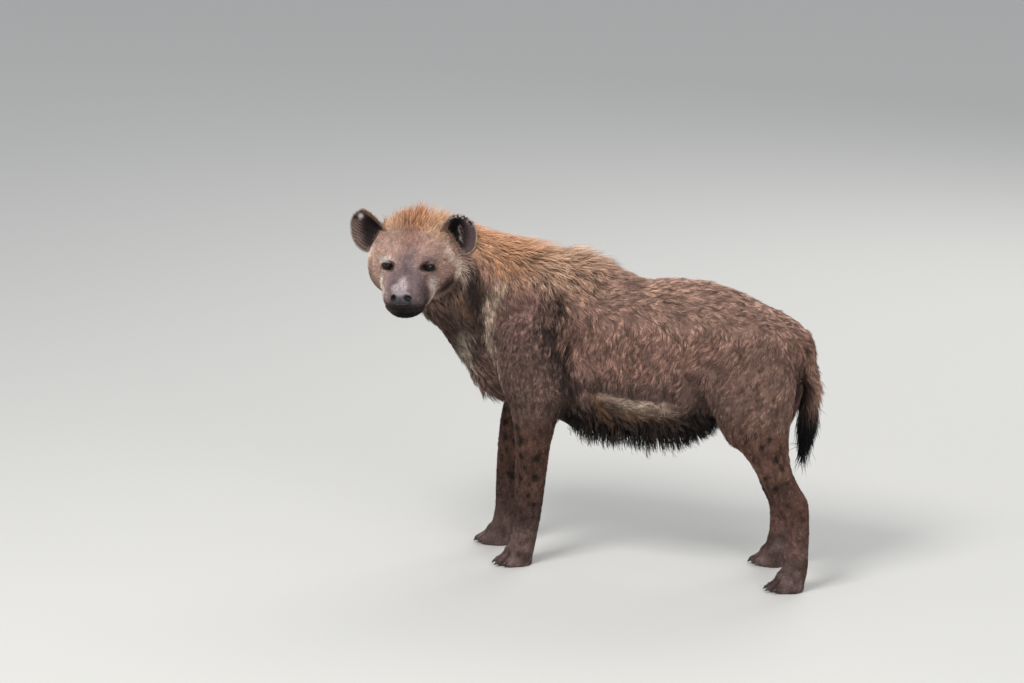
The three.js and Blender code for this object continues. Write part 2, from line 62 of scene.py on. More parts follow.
# Each ear's rim in the plane of its opening, outwards from the head and up. The last three points are
# inside the head.
EAR_RIMS = {
    -1: [(-18, -55), (2, -60), (22, -58), (39, -49), (52, -35), (62, -22), (67, -6), (64, 11), (55, 28),
         (45, 40), (29, 43), (10, 43), (-10, 42), (-24, 40), (-36, 34), (-38, 0), (-32, -36)],
    1: [(-18, -52), (-13, -58), (-2, -62), (11, -61), (23, -55), (32, -45), (42, -29), (48, -13), (49, 2),
        (43, 19), (33, 35), (21, 44), (8, 48), (-10, 46), (-25, 42), (-36, 34), (-38, 0), (-30, -34)]}
NOSE_U, NOSE_W, NOSE_HALF, NOSE_TALL, NOSE_DEEP = 199, -62, 30, 20, 20


def spin(angle, axis):
    """A turn about the x, y or z axis as a 3 by 3 matrix."""
    c, s = math.cos(angle), math.sin(angle)
    turns = {"x": [[1, 0, 0], [0, c, -s], [0, s, c]], "y": [[c, 0, s], [0, 1, 0], [-s, 0, c]],
             "z": [[c, -s, 0], [s, c, 0], [0, 0, 1]]}
    return np.array(turns[axis])


HEAD_AXES = spin(HEAD_TURN, "z") @ spin(HEAD_LIFT, "y") @ np.diag([-1.0, -1.0, 1.0])


def in_head(u, v, w):
    """A point of the head's frame in the animal's frame."""
    return HEAD_AT + HEAD_AXES @ np.array([u, v, w], float)


def to_head(p):
    """Points of the animal's frame in the head's frame."""
    return (p - HEAD_AT) @ HEAD_AXES


low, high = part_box("eye_left")
SHIFT = np.array((low + high) / 2) - in_head(EYE_U, EYE_V, EYE_W) * MM


def smooth(x, low, high):
    """From 0 at low to 1 at high with soft ends."""
    s = np.clip((x - low) / (high - low), 0, 1)
    return s * s * (3 - 2 * s)


def bell(x, middle, reach):
    return np.exp(-(((x - middle) / reach) ** 2))


def unit(v):
    return v / np.maximum(np.linalg.norm(v, axis=-1, keepdims=True), 1e-9)


def noise(p, size, salt=0):
    """A smooth random number from -1 to 1 at each point, with bumps about size across."""
    q = p / size
    cell = np.floor(q).astype(np.int64)
    f = q - cell
    f = f * f * (3 - 2 * f)
    total = np.zeros(len(p))
    for corner in product((0, 1), repeat=3):
        c = np.array(corner)
        h = (cell + c) @ np.array([73856093, 19349663, 83492791]) + salt * 40503
        h = ((h ^ (h >> 13)) * 1274126177) & 0x7FFFFFFF
        value = ((h ^ (h >> 16)) & 0xFFFF) / 32767.5 - 1
        total += np.prod(np.where(c, f, 1 - f), axis=1) * value
    return total


def linear(hexes):
    """An sRGB hex colour as three linear numbers."""
    s = np.array([int(hexes[i:i + 2], 16) for i in (1, 3, 5)]) / 255
    return np.where(s <= 0.04045, s / 12.92, ((s + 0.055) / 1.055) ** 2.4)


# The forms of the body

def curve(rows, t):
    """A smooth curve through the rows of numbers, at t from 0 to 1."""
    rows = np.asarray(rows, float)
    count = len(rows) - 1
    place = np.clip(t, 0, 1) * count
    i = np.minimum(place.astype(int), count - 1)
    f = (place - i)[:, None]
    padded = np.vstack([2 * rows[0] - rows[1], rows, 2 * rows[-1] - rows[-2]])
    a, b, c, d = padded[i], padded[i + 1], padded[i + 2], padded[i + 3]
    m, n = (c - a) / 2, (d - b) / 2
    return ((2 * b - 2 * c + m + n) * f + (3 * c - 3 * b - 2 * m - n)) * f * f + m * f + b


def form(stations, lean=(0, 0, 1), start=0.12, end=0.12, bulges=()):
    """A station has its centre, its reach up, down and sideways, and how square its section is."""
    rows = np.array([list(s) + [2] * (7 - len(s)) for s in stations], float)
    return {"path": rows[:, :3], "reach": rows[:, 3:], "lean": np.array(lean, float), "start": start,
            "end": end, "bulges": bulges}


def frames(shape, t):
    """Centre, direction, up and side of a form at t."""
    centre = curve(shape["path"], t)
    ahead, behind = np.minimum(t + 1e-3, 1), np.maximum(t - 1e-3, 0)
    along = unit(curve(shape["path"], ahead) - curve(shape["path"], behind))
    up = unit(shape["lean"] - along * (along @ shape["lean"])[:, None])
    return centre, along, up, np.cross(up, along)


def section(shape, t, turn):
    """How far a form reaches up and sideways at t and turn, before its ends are rounded."""
    up, down, side, square = curve(shape["reach"], t).T
    c, s = np.cos(turn), np.sin(turn)
    fullness = (np.abs(c) ** square + np.abs(s) ** square) ** (-1 / square)
    return c * np.where(c > 0, up, down) * fullness, s * side * fullness


def on_form(shape, t, turn, rim=1.0):
    """The point of a form's surface at t along it and turn round it. Turn 0 is up."""
    centre, _, up, side = frames(shape, t)
    near = np.minimum(1, t / shape["start"]) if shape["start"] else np.ones_like(t)
    far = np.minimum(1, (1 - t) / shape["end"]) if shape["end"] else np.ones_like(t)
    ending = np.sqrt(np.maximum(0, 1 - (1 - near) ** 2)) * np.sqrt(np.maximum(0, 1 - (1 - far) ** 2)) * rim
    high, wide = section(shape, t, turn)
    out = up * (high * ending)[:, None] + side * (wide * ending)[:, None]
    spot = centre + out
    lift = np.zeros(len(t))
    for at, reach, height in shape["bulges"]:
        lift += rim * height * np.exp(-((spot - at) ** 2).sum(1) / reach**2)
    return spot + unit(out) * lift[:, None]


def both(x, y, z, reach, lift):
    """The same bulge on both flanks."""
    return [(np.array([x, s * y, z], float), reach, lift) for s in (1, -1)]


def pair(u, v, w, reach, lift):
    """The same bulge on both sides of the head."""
    return [(in_head(u, s * v, w), reach, lift) for s in (1, -1)]


SPINE = form([
    (458, 0, 585, 62, 75, 66), (395, 0, 590, 98, 125, 94), (300, 0, 575, 164, 160, 102, 2.1),
    (200, 0, 560, 206, 170, 114, 2.2), (100, 0, 545, 218, 195, 142, 2.3), (0, 0, 545, 214, 200, 142, 2.3),
    (-100, 0, 560, 221, 215, 130, 2.2), (-200, 0, 590, 218, 205, 118, 2.1), (-300, 0, 640, 186, 212, 106),
    (-385, 0, 697, 140, 192, 100), (-462, -8, 748, 108, 152, 95), (-525, -32, 784, 94, 118, 101),
    (-579, -74, 804, 86, 100, 105)], start=0.1, end=0.06, bulges=[
    *both(-225, 112, 720, 80, 6), *both(215, 120, 470, 60, -10), *both(-120, 118, 600, 60, -7),
    *both(455, 45, 560, 50, -8), *both(-395, 70, 560, 70, 6), (np.array([-385.0, -10, 435]), 72, 34),
    (np.array([-552.0, -62, 662]), 60, 24)])


def skull(u, top, bottom, side, widest, square=2):
    return (*in_head(u, 0, widest), top - widest, widest - bottom, side, square)


HEAD = form([
    skull(-84, 66, -26, 46, 20), skull(-54, 108, -64, 88, 12), skull(-26, 112, -86, 108, 5),
    skull(2, 100, -97, 116, 0, 2.1), skull(35, 82, -108, 110, -8, 2.1), skull(75, 44, -113, 80, -24, 2.2),
    skull(110, 12, -116, 60, -46, 2.3), skull(150, -14, -118, 54, -64, 2.4),
    skull(185, -32, -117, 49, -74, 2.4), skull(206, -44, -108, 36, -77, 2.2)],
    lean=HEAD_AXES @ np.array([0, 0, 1.0]), start=0.12, end=0.09, bulges=[
    *pair(64, 54, 26, 22, 9), *pair(84, 62, -3, 20, -7), *pair(60, 78, -30, 30, 5), *pair(25, 98, -55, 38, 6),
    *pair(110, 50, -25, 24, -5), *pair(178, 38, -72, 24, 5), *pair(30, 45, 88, 30, -4),
    (in_head(125, 0, 10), 28, -4), *pair(150, 50, -98, 18, 4), (in_head(185, 0, -105), 22, 3)])

FORE_X, HIND_X, FORE_Y, HIND_Y = -262, 448, 93, 98
FORWARD = (-1, 0, 0)


def fore_leg(side, step, track):
    """Each row is the offset forward, the share of the step, the place sideways, the height and the reach."""
    rows = [(22, 0, 70, 706, 50, 52, 38), (4, 0.1, 84, 620, 84, 84, 50), (2, 0.3, 88, 520, 88, 90, 54),
            (18, 0.6, None, 430, 70, 72, 50), (13, 0.9, None, 340, 52, 51, 41), (8, 1, None, 250, 44, 43, 36),
            (1, 1, None, 165, 41, 39, 34), (-5, 1, None, 110, 36, 36, 32), (-14, 1, None, 62, 30, 32, 34)]
    share_y = [0, 0, 0, 0.5, 0.8, 1, 1, 1, 1]
    return form([(FORE_X + o + step * s, side * (track * k + FORE_Y * (1 - k) if y is None else y), z, *r)
                 for (o, s, y, z, *r), k in zip(rows, share_y)], FORWARD, 0.16, 0)


def hind_leg(side, step):
    rows = [(-112, 0, 56, 690, 60, 56, 42), (-110, 0, 70, 615, 98, 88, 56),
            (-108, 0.05, 80, 520, 122, 98, 58, 2.4), (-96, 0.3, 94, 430, 98, 82, 52, 2.3),
            (-74, 0.65, 98, 355, 62, 58, 40), (-50, 0.85, 98, 292, 46, 44, 31),
            (-14, 1, 98, 222, 41, 44, 27), (2, 1, 98, 170, 34, 36, 25), (4, 1, 98, 110, 31, 32, 25),
            (0, 1, 98, 56, 32, 34, 30)]
    return form([(HIND_X + o + step * s, side * y, z, *r) for o, s, y, z, *r in rows], FORWARD, 0.14, 0)


LEGS = {"foreleg_left": fore_leg(-1, 0, FORE_Y), "foreleg_right": fore_leg(1, -100, 62),
        "hindleg_left": hind_leg(-1, 0), "hindleg_right": hind_leg(1, -90)}
PAW_TURN = {"foreleg_left": 38, "foreleg_right": 12, "hindleg_left": 30, "hindleg_right": 6}
TAIL = form([(408, 0, 655, 28, 28, 28), (440, 0, 618, 25, 25, 26), (451, 0, 560, 22, 22, 22),
             (451, 0, 480, 21, 21, 21), (448, 0, 400, 15, 15, 15), (444, 0, 345, 7, 7, 7)],
            (1, 0, 0), 0.08, 0.1)
FORMS = {"spine": SPINE, "head": HEAD, "tail": TAIL, **LEGS}


# Meshes

def bare(obj):
    """Only this object is selected and active."""
    bpy.ops.object.select_all(action="DESELECT")
    obj.select_set(True)
    bpy.context.view_layer.objects.active = obj


def ball(name, segments, rings):
    """A unit ball, the start of every rounded form."""
    bpy.ops.object.select_all(action="DESELECT")
    bpy.ops.mesh.primitive_uv_sphere_add(segments=segments, ring_count=rings, radius=1)
    obj = bpy.context.object
    obj.name = name
    return obj


def raw(obj, layer="vertices", field="co"):
    """Three numbers for each vertex or face, just as Blender keeps them."""
    values = np.empty(len(getattr(obj.data, layer)) * 3, np.float32)
    getattr(obj.data, layer).foreach_get(field, values)
    return values.reshape(-1, 3).astype(float)


def points_of(obj):
    return (raw(obj) - SHIFT) / MM


def normals_of(obj):
    return raw(obj, "vertex_normals", "vector")


def put_points(obj, p):
    obj.data.vertices.foreach_set("co", (p * MM + SHIFT).astype(np.float32).ravel())
    obj.data.update()
    return obj


def apply(obj, kind, **settings):
    """Adds a modifier and applies it."""
    bare(obj)
    made = obj.modifiers.new("shape", kind)
    for key, value in settings.items():
        setattr(made, key, value)
    bpy.ops.object.modifier_apply(modifier=made.name)


def join(objects, name):
    bpy.ops.object.select_all(action="DESELECT")
    for o in objects:
        o.select_set(True)
    bpy.context.view_layer.objects.active = objects[0]
    bpy.ops.object.join()
    objects[0].name = name
    return objects[0]


def attribute(obj, name, values):
    """A number or a colour at each vertex."""
    if values.ndim == 1:
        obj.data.attributes.new(name, "FLOAT", "POINT").data.foreach_set("value", values.astype(np.float32))
        return
    rgba = np.ones((len(values), 4), np.float32)
    rgba[:, :3] = values
    obj.data.attributes.new(name, "FLOAT_COLOR", "POINT").data.foreach_set("color", rgba.ravel())


def shade(obj):
    obj.data.polygons.foreach_set("use_smooth", np.ones(len(obj.data.polygons), bool))
    obj.data.update()


def loft(shape, segments, rings):
    """A ball whose vertices are moved onto a form."""
    obj = ball("flesh", segments, rings)
    p = raw(obj)
    polar = np.arccos(np.clip(p[:, 2], -1, 1)) / np.pi
    rim = np.where((polar < 1e-4) | (polar > 1 - 1e-4), 0.0, 1.0)
    t = 0.45 * polar + 0.55 * (0.5 - 0.5 * np.cos(np.pi * polar))
    return put_points(obj, on_form(shape, t, np.arctan2(p[:, 1], p[:, 0]), rim))


def egg(at, reach, axes):
    """An ellipsoid with its own axes."""
    obj = ball("flesh", 24, 16)
    return put_points(obj, at + (raw(obj) * reach) @ axes.T)


def ear_axes(side):
    return HEAD_AXES @ spin(side * 0.42, "z") @ spin(side * math.radians(31), "x")


PAWS = {}
TOES = [(-27, 44, -16), (-10, 57, -5), (10, 57, 5), (27, 44, 16)]
for leg, shape in LEGS.items():
    size, top = (1, 94) if leg.startswith("fore") else (0.96, 80)
    turn = spin(math.radians(PAW_TURN[leg]), "z")
    PAWS[leg] = {"at": shape["path"][-1] * (1, 1, 0), "turn": turn, "size": size, "top": top}


def in_paw(leg, forward, side, up):
    paw = PAWS[leg]
    return paw["at"] + paw["turn"] @ np.array([-forward, -side, up], float) * paw["size"]


def paw_pieces(leg):
    """The pad of a paw under its leg, and four toes in a fan, each with a raised knuckle."""
    paw, shape = PAWS[leg], LEGS[leg]
    lead = paw["turn"] @ np.array([-1.0, 0, 0])
    t = np.linspace(0.5, 1, 400)
    k = np.argmin(np.abs(curve(shape["path"], t)[:, 2] - paw["top"]))
    wrist = curve(shape["path"], t[k:k + 1])[0], curve(shape["reach"], t[k:k + 1])[0]
    pad = form([(*wrist[0], *wrist[1][:3]), (*in_paw(leg, 4, 0, 48), 33, 36, 34),
                (*in_paw(leg, 12, 0, 26), 42, 38, 38), (*in_paw(leg, 14, 0, 4), 45, 38, 39),
                (*in_paw(leg, 14, 0, -12), 40, 34, 34)], lead, 0.02, 0.2)
    pieces = [loft(pad, 32, 24)]
    for side, forward, yaw in TOES:
        axes = paw["turn"] @ spin(math.radians(-yaw), "z")
        toe, knuckle = in_paw(leg, forward, side, 11), in_paw(leg, forward - 8, side * 0.95, 19)
        for at, reach in ((toe, [23, 11, 13]), (knuckle, [19, 9.5, 12])):
            pieces.append(egg(at, np.array(reach) * paw["size"], axes))
    return pieces


# Where a point lies on the animal

def survey(p):
    """The head's coordinates of each point, its place on the nearest stretch of each form, and how much
    it belongs to each form."""
    found = {"p": p, "uvw": to_head(p)}
    q = {}
    for name, shape in FORMS.items():
        steps = np.linspace(0, 1, 61)
        path = curve(shape["path"], steps)
        far = (path**2).sum(1)[None] - 2 * p.astype(np.float32) @ path.T.astype(np.float32)
        t = steps[far.argmin(1)]
        for _ in range(2):
            centre, along, up, side = frames(shape, t)
            speed = np.linalg.norm(curve(shape["path"], np.minimum(t + 0.01, 1))
                                   - curve(shape["path"], np.maximum(t - 0.01, 0)), axis=1) / 0.02
            t = np.clip(t + ((p - centre) * along).sum(1) / np.maximum(speed, 1), 0, 1)
        centre, along, up, side = frames(shape, t)
        d = p - centre
        turn = np.arctan2((d * side).sum(1), (d * up).sum(1))
        radius = np.hypot(*section(shape, t, turn))
        q[name] = np.linalg.norm(d, axis=1) / np.maximum(radius, 4)
        found[name] = {"t": t, "turn": turn, "along": along}
    share = {name: np.exp(-((np.maximum(q[name], 1) - 1) / 0.17) ** 2) for name in FORMS}
    share["spine"] = share["spine"] * smooth(q["head"], 0.98, 1.2) + 1e-6
    share["tail"] *= smooth(found["tail"]["t"], 0.02, 0.12)
    for leg in LEGS:
        share[leg] *= smooth(found[leg]["t"], 0.0, 0.25)
    share["paw"] = 4 * (1 - smooth(p[:, 2], 62, 96))
    total = sum(share.values())
    found["share"] = {name: s / total for name, s in share.items()}
    found["a"] = np.abs(found["spine"]["turn"])
    return found


def nearest_leg(place):
    """For each point the name index of the leg it is closest to."""
    return np.argmax(np.array([place["share"][leg] + 1e-3 * np.exp(
        -((place["p"][:, :2] - LEGS[leg]["path"][-1, :2]) ** 2).sum(1) / 60**2) for leg in LEGS]), axis=0)


def lie_of(place, n):
    """The way the hair lies: back along the body, down the flanks and legs, from the nose over the face."""
    p, a, t = place["p"], place["a"], place["spine"]["t"]
    share = place["share"]
    u, v, w = place["uvw"].T
    x = p[:, 0]
    down = np.array([0, 0, -1.0])
    flank = smooth(a, 0.35, 1.1) * (1 - smooth(a, 2.2, 2.8))
    hang = flank * (0.85 + 0.85 * bell(x, 180, 150) - 0.3 * smooth(x, 330, 430) - 0.4 * smooth(t, 0.66, 0.8))
    hang = hang * (1 - 0.8 * belly_band(p))
    flank = flank * (1 - 0.85 * belly_band(p))
    spine = -place["spine"]["along"] * (1 - hang)[:, None] + down * flank[:, None]
    side = np.sign(v) * smooth(np.abs(v), 8, 70)
    cheek = smooth(-w, -20, 40) * smooth(np.abs(v), 30, 70)
    face = np.stack([-np.ones_like(u), side * 0.5 * (1 - cheek), 0.25 - 0.75 * cheek], 1) @ HEAD_AXES.T
    total = spine * share["spine"][:, None] + face * share["head"][:, None]
    total += place["tail"]["along"] * share["tail"][:, None]
    for k, leg in enumerate(LEGS):
        lean = 0.16 if leg.startswith("fore") else 0.25 - 0.7 * smooth(p[:, 2], 340, 460)
        total += share[leg][:, None] * np.stack([lean + 0 * x, 0 * x, -1 + 0 * x], 1)
        here = share["paw"] * (nearest_leg(place) == k)
        total += here[:, None] * (PAWS[leg]["turn"] @ np.array([-1.0, 0, -0.7]))
    total = unit(total - n * (total * n).sum(1)[:, None])
    swirl = 0.5 * noise(p, 58, 1) + 0.42 * noise(p, 21, 2)
    swirl *= share["spine"] + 0.5 * share["head"] * smooth(-u, -110, -30) * (1 - smooth(w, 40, 90)) + 0.3
    across = np.cross(n, total)
    return unit(total * np.cos(swirl)[:, None] + across * np.sin(swirl)[:, None])


def fringe_share(place):
    """How much each point belongs to the hanging fringe under the belly."""
    x = place["p"][:, 0]
    below = smooth(place["a"], 2.4, 2.7)
    return below * smooth(x, -180, -130) * (1 - smooth(x, 190, 225)) * place["share"]["spine"]


def on_left(p):
    """The points brought over to the left side of the body."""
    near = p * (1, 1, 1)
    near[:, 1] = -np.abs(p[:, 1])
    return near


def belly_band(p):
    """The smooth fold of skin low on each flank, where the hair lies level."""
    fold = [(-60, -128, 462), (10, -132, 448), (90, -128, 440), (140, -122, 448)]
    return streak(on_left(p), fold, 26, 0.6)


def matted(p):
    """The wet, matted locks behind the shoulder."""
    return patch(p * (1, 0, 1), (-178, 0, 640), (52, 1, 105), 0.7)


def wrinkles(p):
    """The fine level wrinkles over the upper arm."""
    return patch(p * (1, 0, 1), (-284, 0, 606), (66, 1, 62), 0.6) * (p[:, 1] ** 2 > 60**2)


def coat_plan(place):
    """Length and width of the tufts in millimetres, how steeply they rise, how much they clump, how many
    layers they make."""
    a, t = place["a"], place["spine"]["t"]
    z = place["p"][:, 2]
    x = place["p"][:, 0]
    u, v, w = place["uvw"].T
    share = place["share"]
    top = 1 - smooth(a, 0.12, 0.75)
    grown = smooth(t, 0.48, 0.66)
    breast = patch(place["p"] * (1, 0, 1), (-420, 0, 500), (50, 1, 110), 0.7) * smooth(a, 1.7, 2.3)
    belly = smooth(a, 2.1, 2.6)
    fringe = fringe_share(place)
    neck = smooth(t, 0.68, 0.78)
    knots = matted(place["p"]) * (1 - top)
    wrinkled = wrinkles(place["p"])
    high = top * grown * (1 - 0.45 * smooth(t, 0.78, 0.9))
    band = belly_band(place["p"])
    length = 34 + 38 * high + 2 * top - 9 * belly + 14 * fringe + 3 * neck
    length = length + 10 * knots + 14 * breast - 10 * band
    length -= fringe * (14 * smooth(x, 90, 190) + 6 * smooth(-x, 60, 150))
    length = length - 9 * smooth(x, 250, 340) - 13 * wrinkled
    rise = 0.17 + 0.62 * high + 0.08 * belly + 1.9 * fringe + 0.08 * neck
    rise = rise + 0.38 * knots + 0.3 * breast - 0.08 * band
    clump = 0.72 - 0.48 * top * grown - 0.2 * neck - 0.06 * fringe + 0.26 * knots - 0.3 * band
    layers = 3.1 + 2.6 * top * grown - 1.9 * belly + 0.3 * fringe + 0.5 * neck
    plan = {"length": length * share["spine"], "rise": rise * share["spine"],
            "clump": clump * share["spine"], "layers": layers * share["spine"]}
    crest = smooth(w, 44, 104) * (1 - smooth(u, -6, 62)) * (1 - smooth(np.abs(v + 2), 68, 98))
    muzzle = smooth(u, 55, 135)
    ruff = smooth(-u, -30, 30) * (1 - crest)
    dome = crest * (0.78 + 0.22 * bell(v, 26, 42))
    head = {"length": 11 - 6 * muzzle + 46 * dome + 6 * crest * bell(v, -52, 30) + 13 * ruff,
            "rise": 0.16 + 1.15 * dome + 0.06 * ruff, "clump": 0.2 + 0.15 * ruff - 0.2 * crest,
            "layers": 1.1 + 6.0 * crest - 0.4 * muzzle + 0.7 * ruff}
    heights = [0, 90, 250, 420, 520, 600, 700]
    fore = np.interp(z, heights, [6, 9, 12, 13, 15, 20, 28])
    hind = np.interp(z, heights, [6, 9, 13, 18, 21, 24, 28])
    brush = 1 - smooth(z, 500, 590)
    tail = {"length": 26 + 54 * brush, "rise": 0.1 + 0.3 * brush * smooth(z, 330, 420),
            "clump": 0.45 - 0.15 * brush, "layers": 4.0 + 22 * brush}
    parts = [("head", head), ("tail", tail)]
    for leg in LEGS:
        low = 1 - smooth(z, 380, 520)
        parts.append((leg, {"length": fore if leg.startswith("fore") else hind, "rise": 0.14,
                            "clump": 0.66 - 0.06 * low, "layers": 1.0 - 0.48 * low}))
    parts.append(("paw", {"length": 7, "rise": 0.16, "clump": 0.3, "layers": 0.6}))
    for name, values in parts:
        for key in plan:
            plan[key] = plan[key] + share[name] * values[key]
    crease = 4 * share["head"] * share["spine"] * (1 - crest)
    plan["rise"] = plan["rise"] + 0.7 * crease
    plan["length"] = plan["length"] + 7 * crease
    plan["layers"] = plan["layers"] * (1 + 0.5 * crease)
    plan["width"] = 0.9 + 0.034 * np.minimum(plan["length"], 34) + 0.012 * np.maximum(plan["length"] - 34, 0)
    plan["width"] = plan["width"] * (1 - 0.22 * crest * share["head"])
    return plan


# Markings, the same for the skin and the coat

def tint(colour, hexes, weight):
    """Mixes a colour in by weight."""
    return colour + (linear(hexes) - colour) * np.clip(weight, 0, 1)[:, None]


def patch(p, at, reach, soft=0.5):
    """How much each point is in a patch: an ellipsoid with a soft edge."""
    d = np.sqrt((((p - np.array(at)) / np.array(reach)) ** 2).sum(1))
    return 1 - smooth(d, 1 - soft, 1 + soft)


def streak(p, ends, reach, soft=0.5):
    """A patch drawn out along a line of points."""
    best = np.full(len(p), 9.0)
    for a, b in zip(ends[:-1], ends[1:]):
        a, b = np.array(a, float), np.array(b, float)
        s = np.clip((p - a) @ (b - a) / ((b - a) @ (b - a)), 0, 1)
        best = np.minimum(best, np.linalg.norm(p - a - s[:, None] * (b - a), axis=1) / reach)
    return 1 - smooth(best, 1 - soft, 1 + soft)


def mark(p, at, reach, soft):
    """A streak along a list of points, or a patch round a single one."""
    return (streak if isinstance(at, list) else patch)(p, at, reach, soft)


def paint(colour, p, marks):
    """Lays a table's marks on, one after the other."""
    for hexes, at, reach, soft, weight in marks:
        colour = tint(colour, hexes, mark(p, at, reach, soft) * weight)
    return colour


# Dark spots: on the outside of each leg, given for the left legs, and fainter ones on the thigh.
FORE_SPOTS = [(-273, 340, 12), (-271, 299, 10), (-235, 295, 11), (-271, 245, 9), (-232, 243, 10),
              (-252, 194, 9), (-284, 372, 10), (-236, 350, 8), (-258, 268, 7), (-246, 222, 7), (-238, 168, 7)]
HIND_SPOTS = [(331, 400, 10), (367, 377, 11), (373, 296, 9), (400, 347, 11), (416, 320, 10), (345, 352, 9),
              (386, 402, 9), (352, 448, 8), (392, 440, 8), (428, 288, 8), (398, 268, 8), (430, 232, 7),
              (316, 462, 8), (300, 520, 8), (340, 505, 8), (380, 545, 8)]


def toe_gaps(p):
    """How close each point is to a groove between two toes."""
    gaps = np.zeros(len(p))
    for leg, paw in PAWS.items():
        forward, side = ((p - paw["at"]) @ paw["turn"] * (-1, -1, 1) / paw["size"])[:, :2].T
        for middle in (-18.5, 0, 18.5):
            gap = bell(side - 0.12 * middle * (forward - 50) / 20, middle, 3.6) * smooth(forward, 34, 50)
            gaps = np.maximum(gaps, gap * (forward < 95) * (1 - smooth(p[:, 2], 30, 48)))
    return gaps


# Colours of the coat, in the order they are laid on: hex, middle or line of points, reach, softness and
# weight. Those of the body lie on its left side and count for both sides.
HIDE_MARKS = [
    ("#9c7c6e", (350, -70, 690), (110, 90, 70), 0.5, 0.8),
    ("#8c6c62", (-281, -106, 677), (75, 80, 70), 0.5, 1)]
NECK_MARKS = [
    ("#362a26", [(-456, -100, 776), (-424, -100, 752), (-404, -100, 708)], 36, 0.5, 1),
    ("#33261f", (-400, -90, 625), (34, 90, 60), 0.5, 0.8),
    ("#d6bfa9", [(-338, -90, 760), (-370, -98, 690), (-378, -102, 616), (-358, -106, 545),
     (-338, -106, 485)], 14, 0.9, 0.8),
    ("#b9a998", (-448, -58, 548), (26, 50, 62), 0.5, 0.8),
    ("#46362f", [(-428, -72, 560), (-398, -90, 500), (-360, -100, 450)], 16, 0.5, 0.7)]
ARM_MARKS = [
    ("#4a3c37", (-215, -120, 640), (26, 60, 44), 0.8, 0.7),
    ("#8d7264", (-232, -120, 480), (22, 60, 40), 0.8, 0.6),
    # Painted shade: a dark line along the groove above the pale belly band.
    ("#4a3a33", [(-150, -122, 500), (-60, -136, 506), (40, -138, 498), (150, -126, 480)], 20, 0.5, 0.5)]
BAND_MARKS = [
    ("#8d6644", [(-75, -120, 465), (-62, -115, 430), (-34, -98, 392)], 11, 0.95, 0.5),
    ("#7a5f4b", [(-20, -118, 425), (50, -120, 424), (110, -116, 436)], 12, 0.9, 0.6)]
FORELEG_MARKS = [
    ("#33261f", [(-312, -110, 446), (-284, -134, 432)], 16, 0.9, 0.8),
    ("#7d6358", (-240, -130, 440), (46, 60, 50), 0.9, 0.7)]
CHEEK_MARKS = [
    ("#d0aa99", (60, -58, 44), (60, 30, 34), 0.8, 0.8),
    ("#a27968", (44, 3, 66), (54, 30, 36), 0.8, 0.85)]
BROW_MARKS = [
    ("#ecc4a0", (4, 66, 92), (50, 34, 34), 0.8, 0.8),
    ("#b87f5a", (0, 8, 104), (56, 40, 20), 0.8, 0.8)]
NAPE_MARKS = [
    ("#ad8a7a", (15, 112, 0), (50, 40, 50), 0.5, 0.2),
    # Painted shade in the gap behind the jaw, where the head meets the neck.
    ("#6e594e", (25, 95, -70), (50, 45, 36), 0.5, 0.8)]
TEMPLE_MARKS = [
    # Painted shade: near black in the gap behind the jaw.
    ("#1d1410", (34, 96, -56), (24, 24, 30), 0.7, 0.85),
    ("#79666a", (100, 8, 18), (30, 22, 22), 0.9, 0.8)]
FACE_MARKS = [
    ("#bb9f95", (124, -42, -56), (44, 18, 46), 0.8, 0.85),
    ("#b09590", (168, -34, -64), (34, 20, 18), 0.8, 0.8),
    ("#d6b3a1", (66, -86, -24), (40, 22, 44), 0.8, 0.5),
    ("#cfac99", (30, 90, 30), (36, 20, 28), 0.8, 0.5),
    ("#786560", (98, 62, -17), (24, 22, 9), 0.8, 0.6),
    ("#5f5057", [(104, 4, 8), (124, 5, -8), (146, 5, -20)], 15, 0.8, 0.9),
    ("#3a2c2c", (146, 48, -72), (42, 24, 30), 0.8, 0.85),
    ("#8a5f52", (128, 47, -44), (20, 18, 16), 0.8, 0.4),
    ("#3f302d", [(106, 44, -18), (112, 50, -50), (116, 52, -78)], 6, 0.9, 0.75),
    ("#463637", [(146, -42, -64), (138, -26, -50), (146, -10, -40)], 4.5, 0.9, 0.85),
    ("#4b3b3d", [(150, 24, -34), (158, 26, -46), (170, 28, -52)], 4, 0.9, 0.7),
    # The pale wedge over the muzzle up to the nose pad: pale hair with a painted sheen on it.
    ("#bfadac", [(158, 4, -24), (178, 3, -29)], 7, 0.8, 0.7),
    ("#c4b2b0", [(180, 3, -29), (196, 2, -36)], 11, 0.7, 0.95),
    ("#c4b2b0", [(198, -6, -42), (206, 2, -47), (198, 10, -42)], 12, 0.7, 0.95)]
LID_MARKS = [
    ("#6b5652", (140, -42, -98), (60, 24, 20), 0.8, 0.8),
    ("#ead8cc", (94, -51, 15), (34, 19, 8), 0.7, 0.8),
    ("#7d6660", (90, 56, 18), (30, 21, 10), 0.8, 0.6),
    ("#66565a", (90, 56, 12), (30, 19, 6), 0.8, 0.7),
    ("#1a1415", (96, 55, -1), (30, 22, 8.6), 0.35, 0.95),
    ("#241c1d", (99, -48, -1), (30, 16, 8), 0.35, 0.95)]
CREAM_MARKS = [
    ("#f0dccb", [(94, -61, -32), (92, -60, -56), (98, -58, -92)], 10, 0.5, 1),
    ("#f0dccb", [(112, -55, -52), (158, -46, -62), (176, -42, -84)], 8, 0.7, 1),
    ("#e2d3c9", [(96, 64, -40), (94, 68, -54), (92, 66, -92)], 18, 0.9, 0.9),
    ("#d9c6ab", [(120, -52, -78), (140, -54, -96)], 8, 0.8, 0.6)]
# Small dark flecks on the cheek by the left ear.
FLECKS = [(51, 91, 41), (44, 103, 25), (18, 114, 11), (34, 106, -6), (60, 88, 14), (40, 110, -24)]


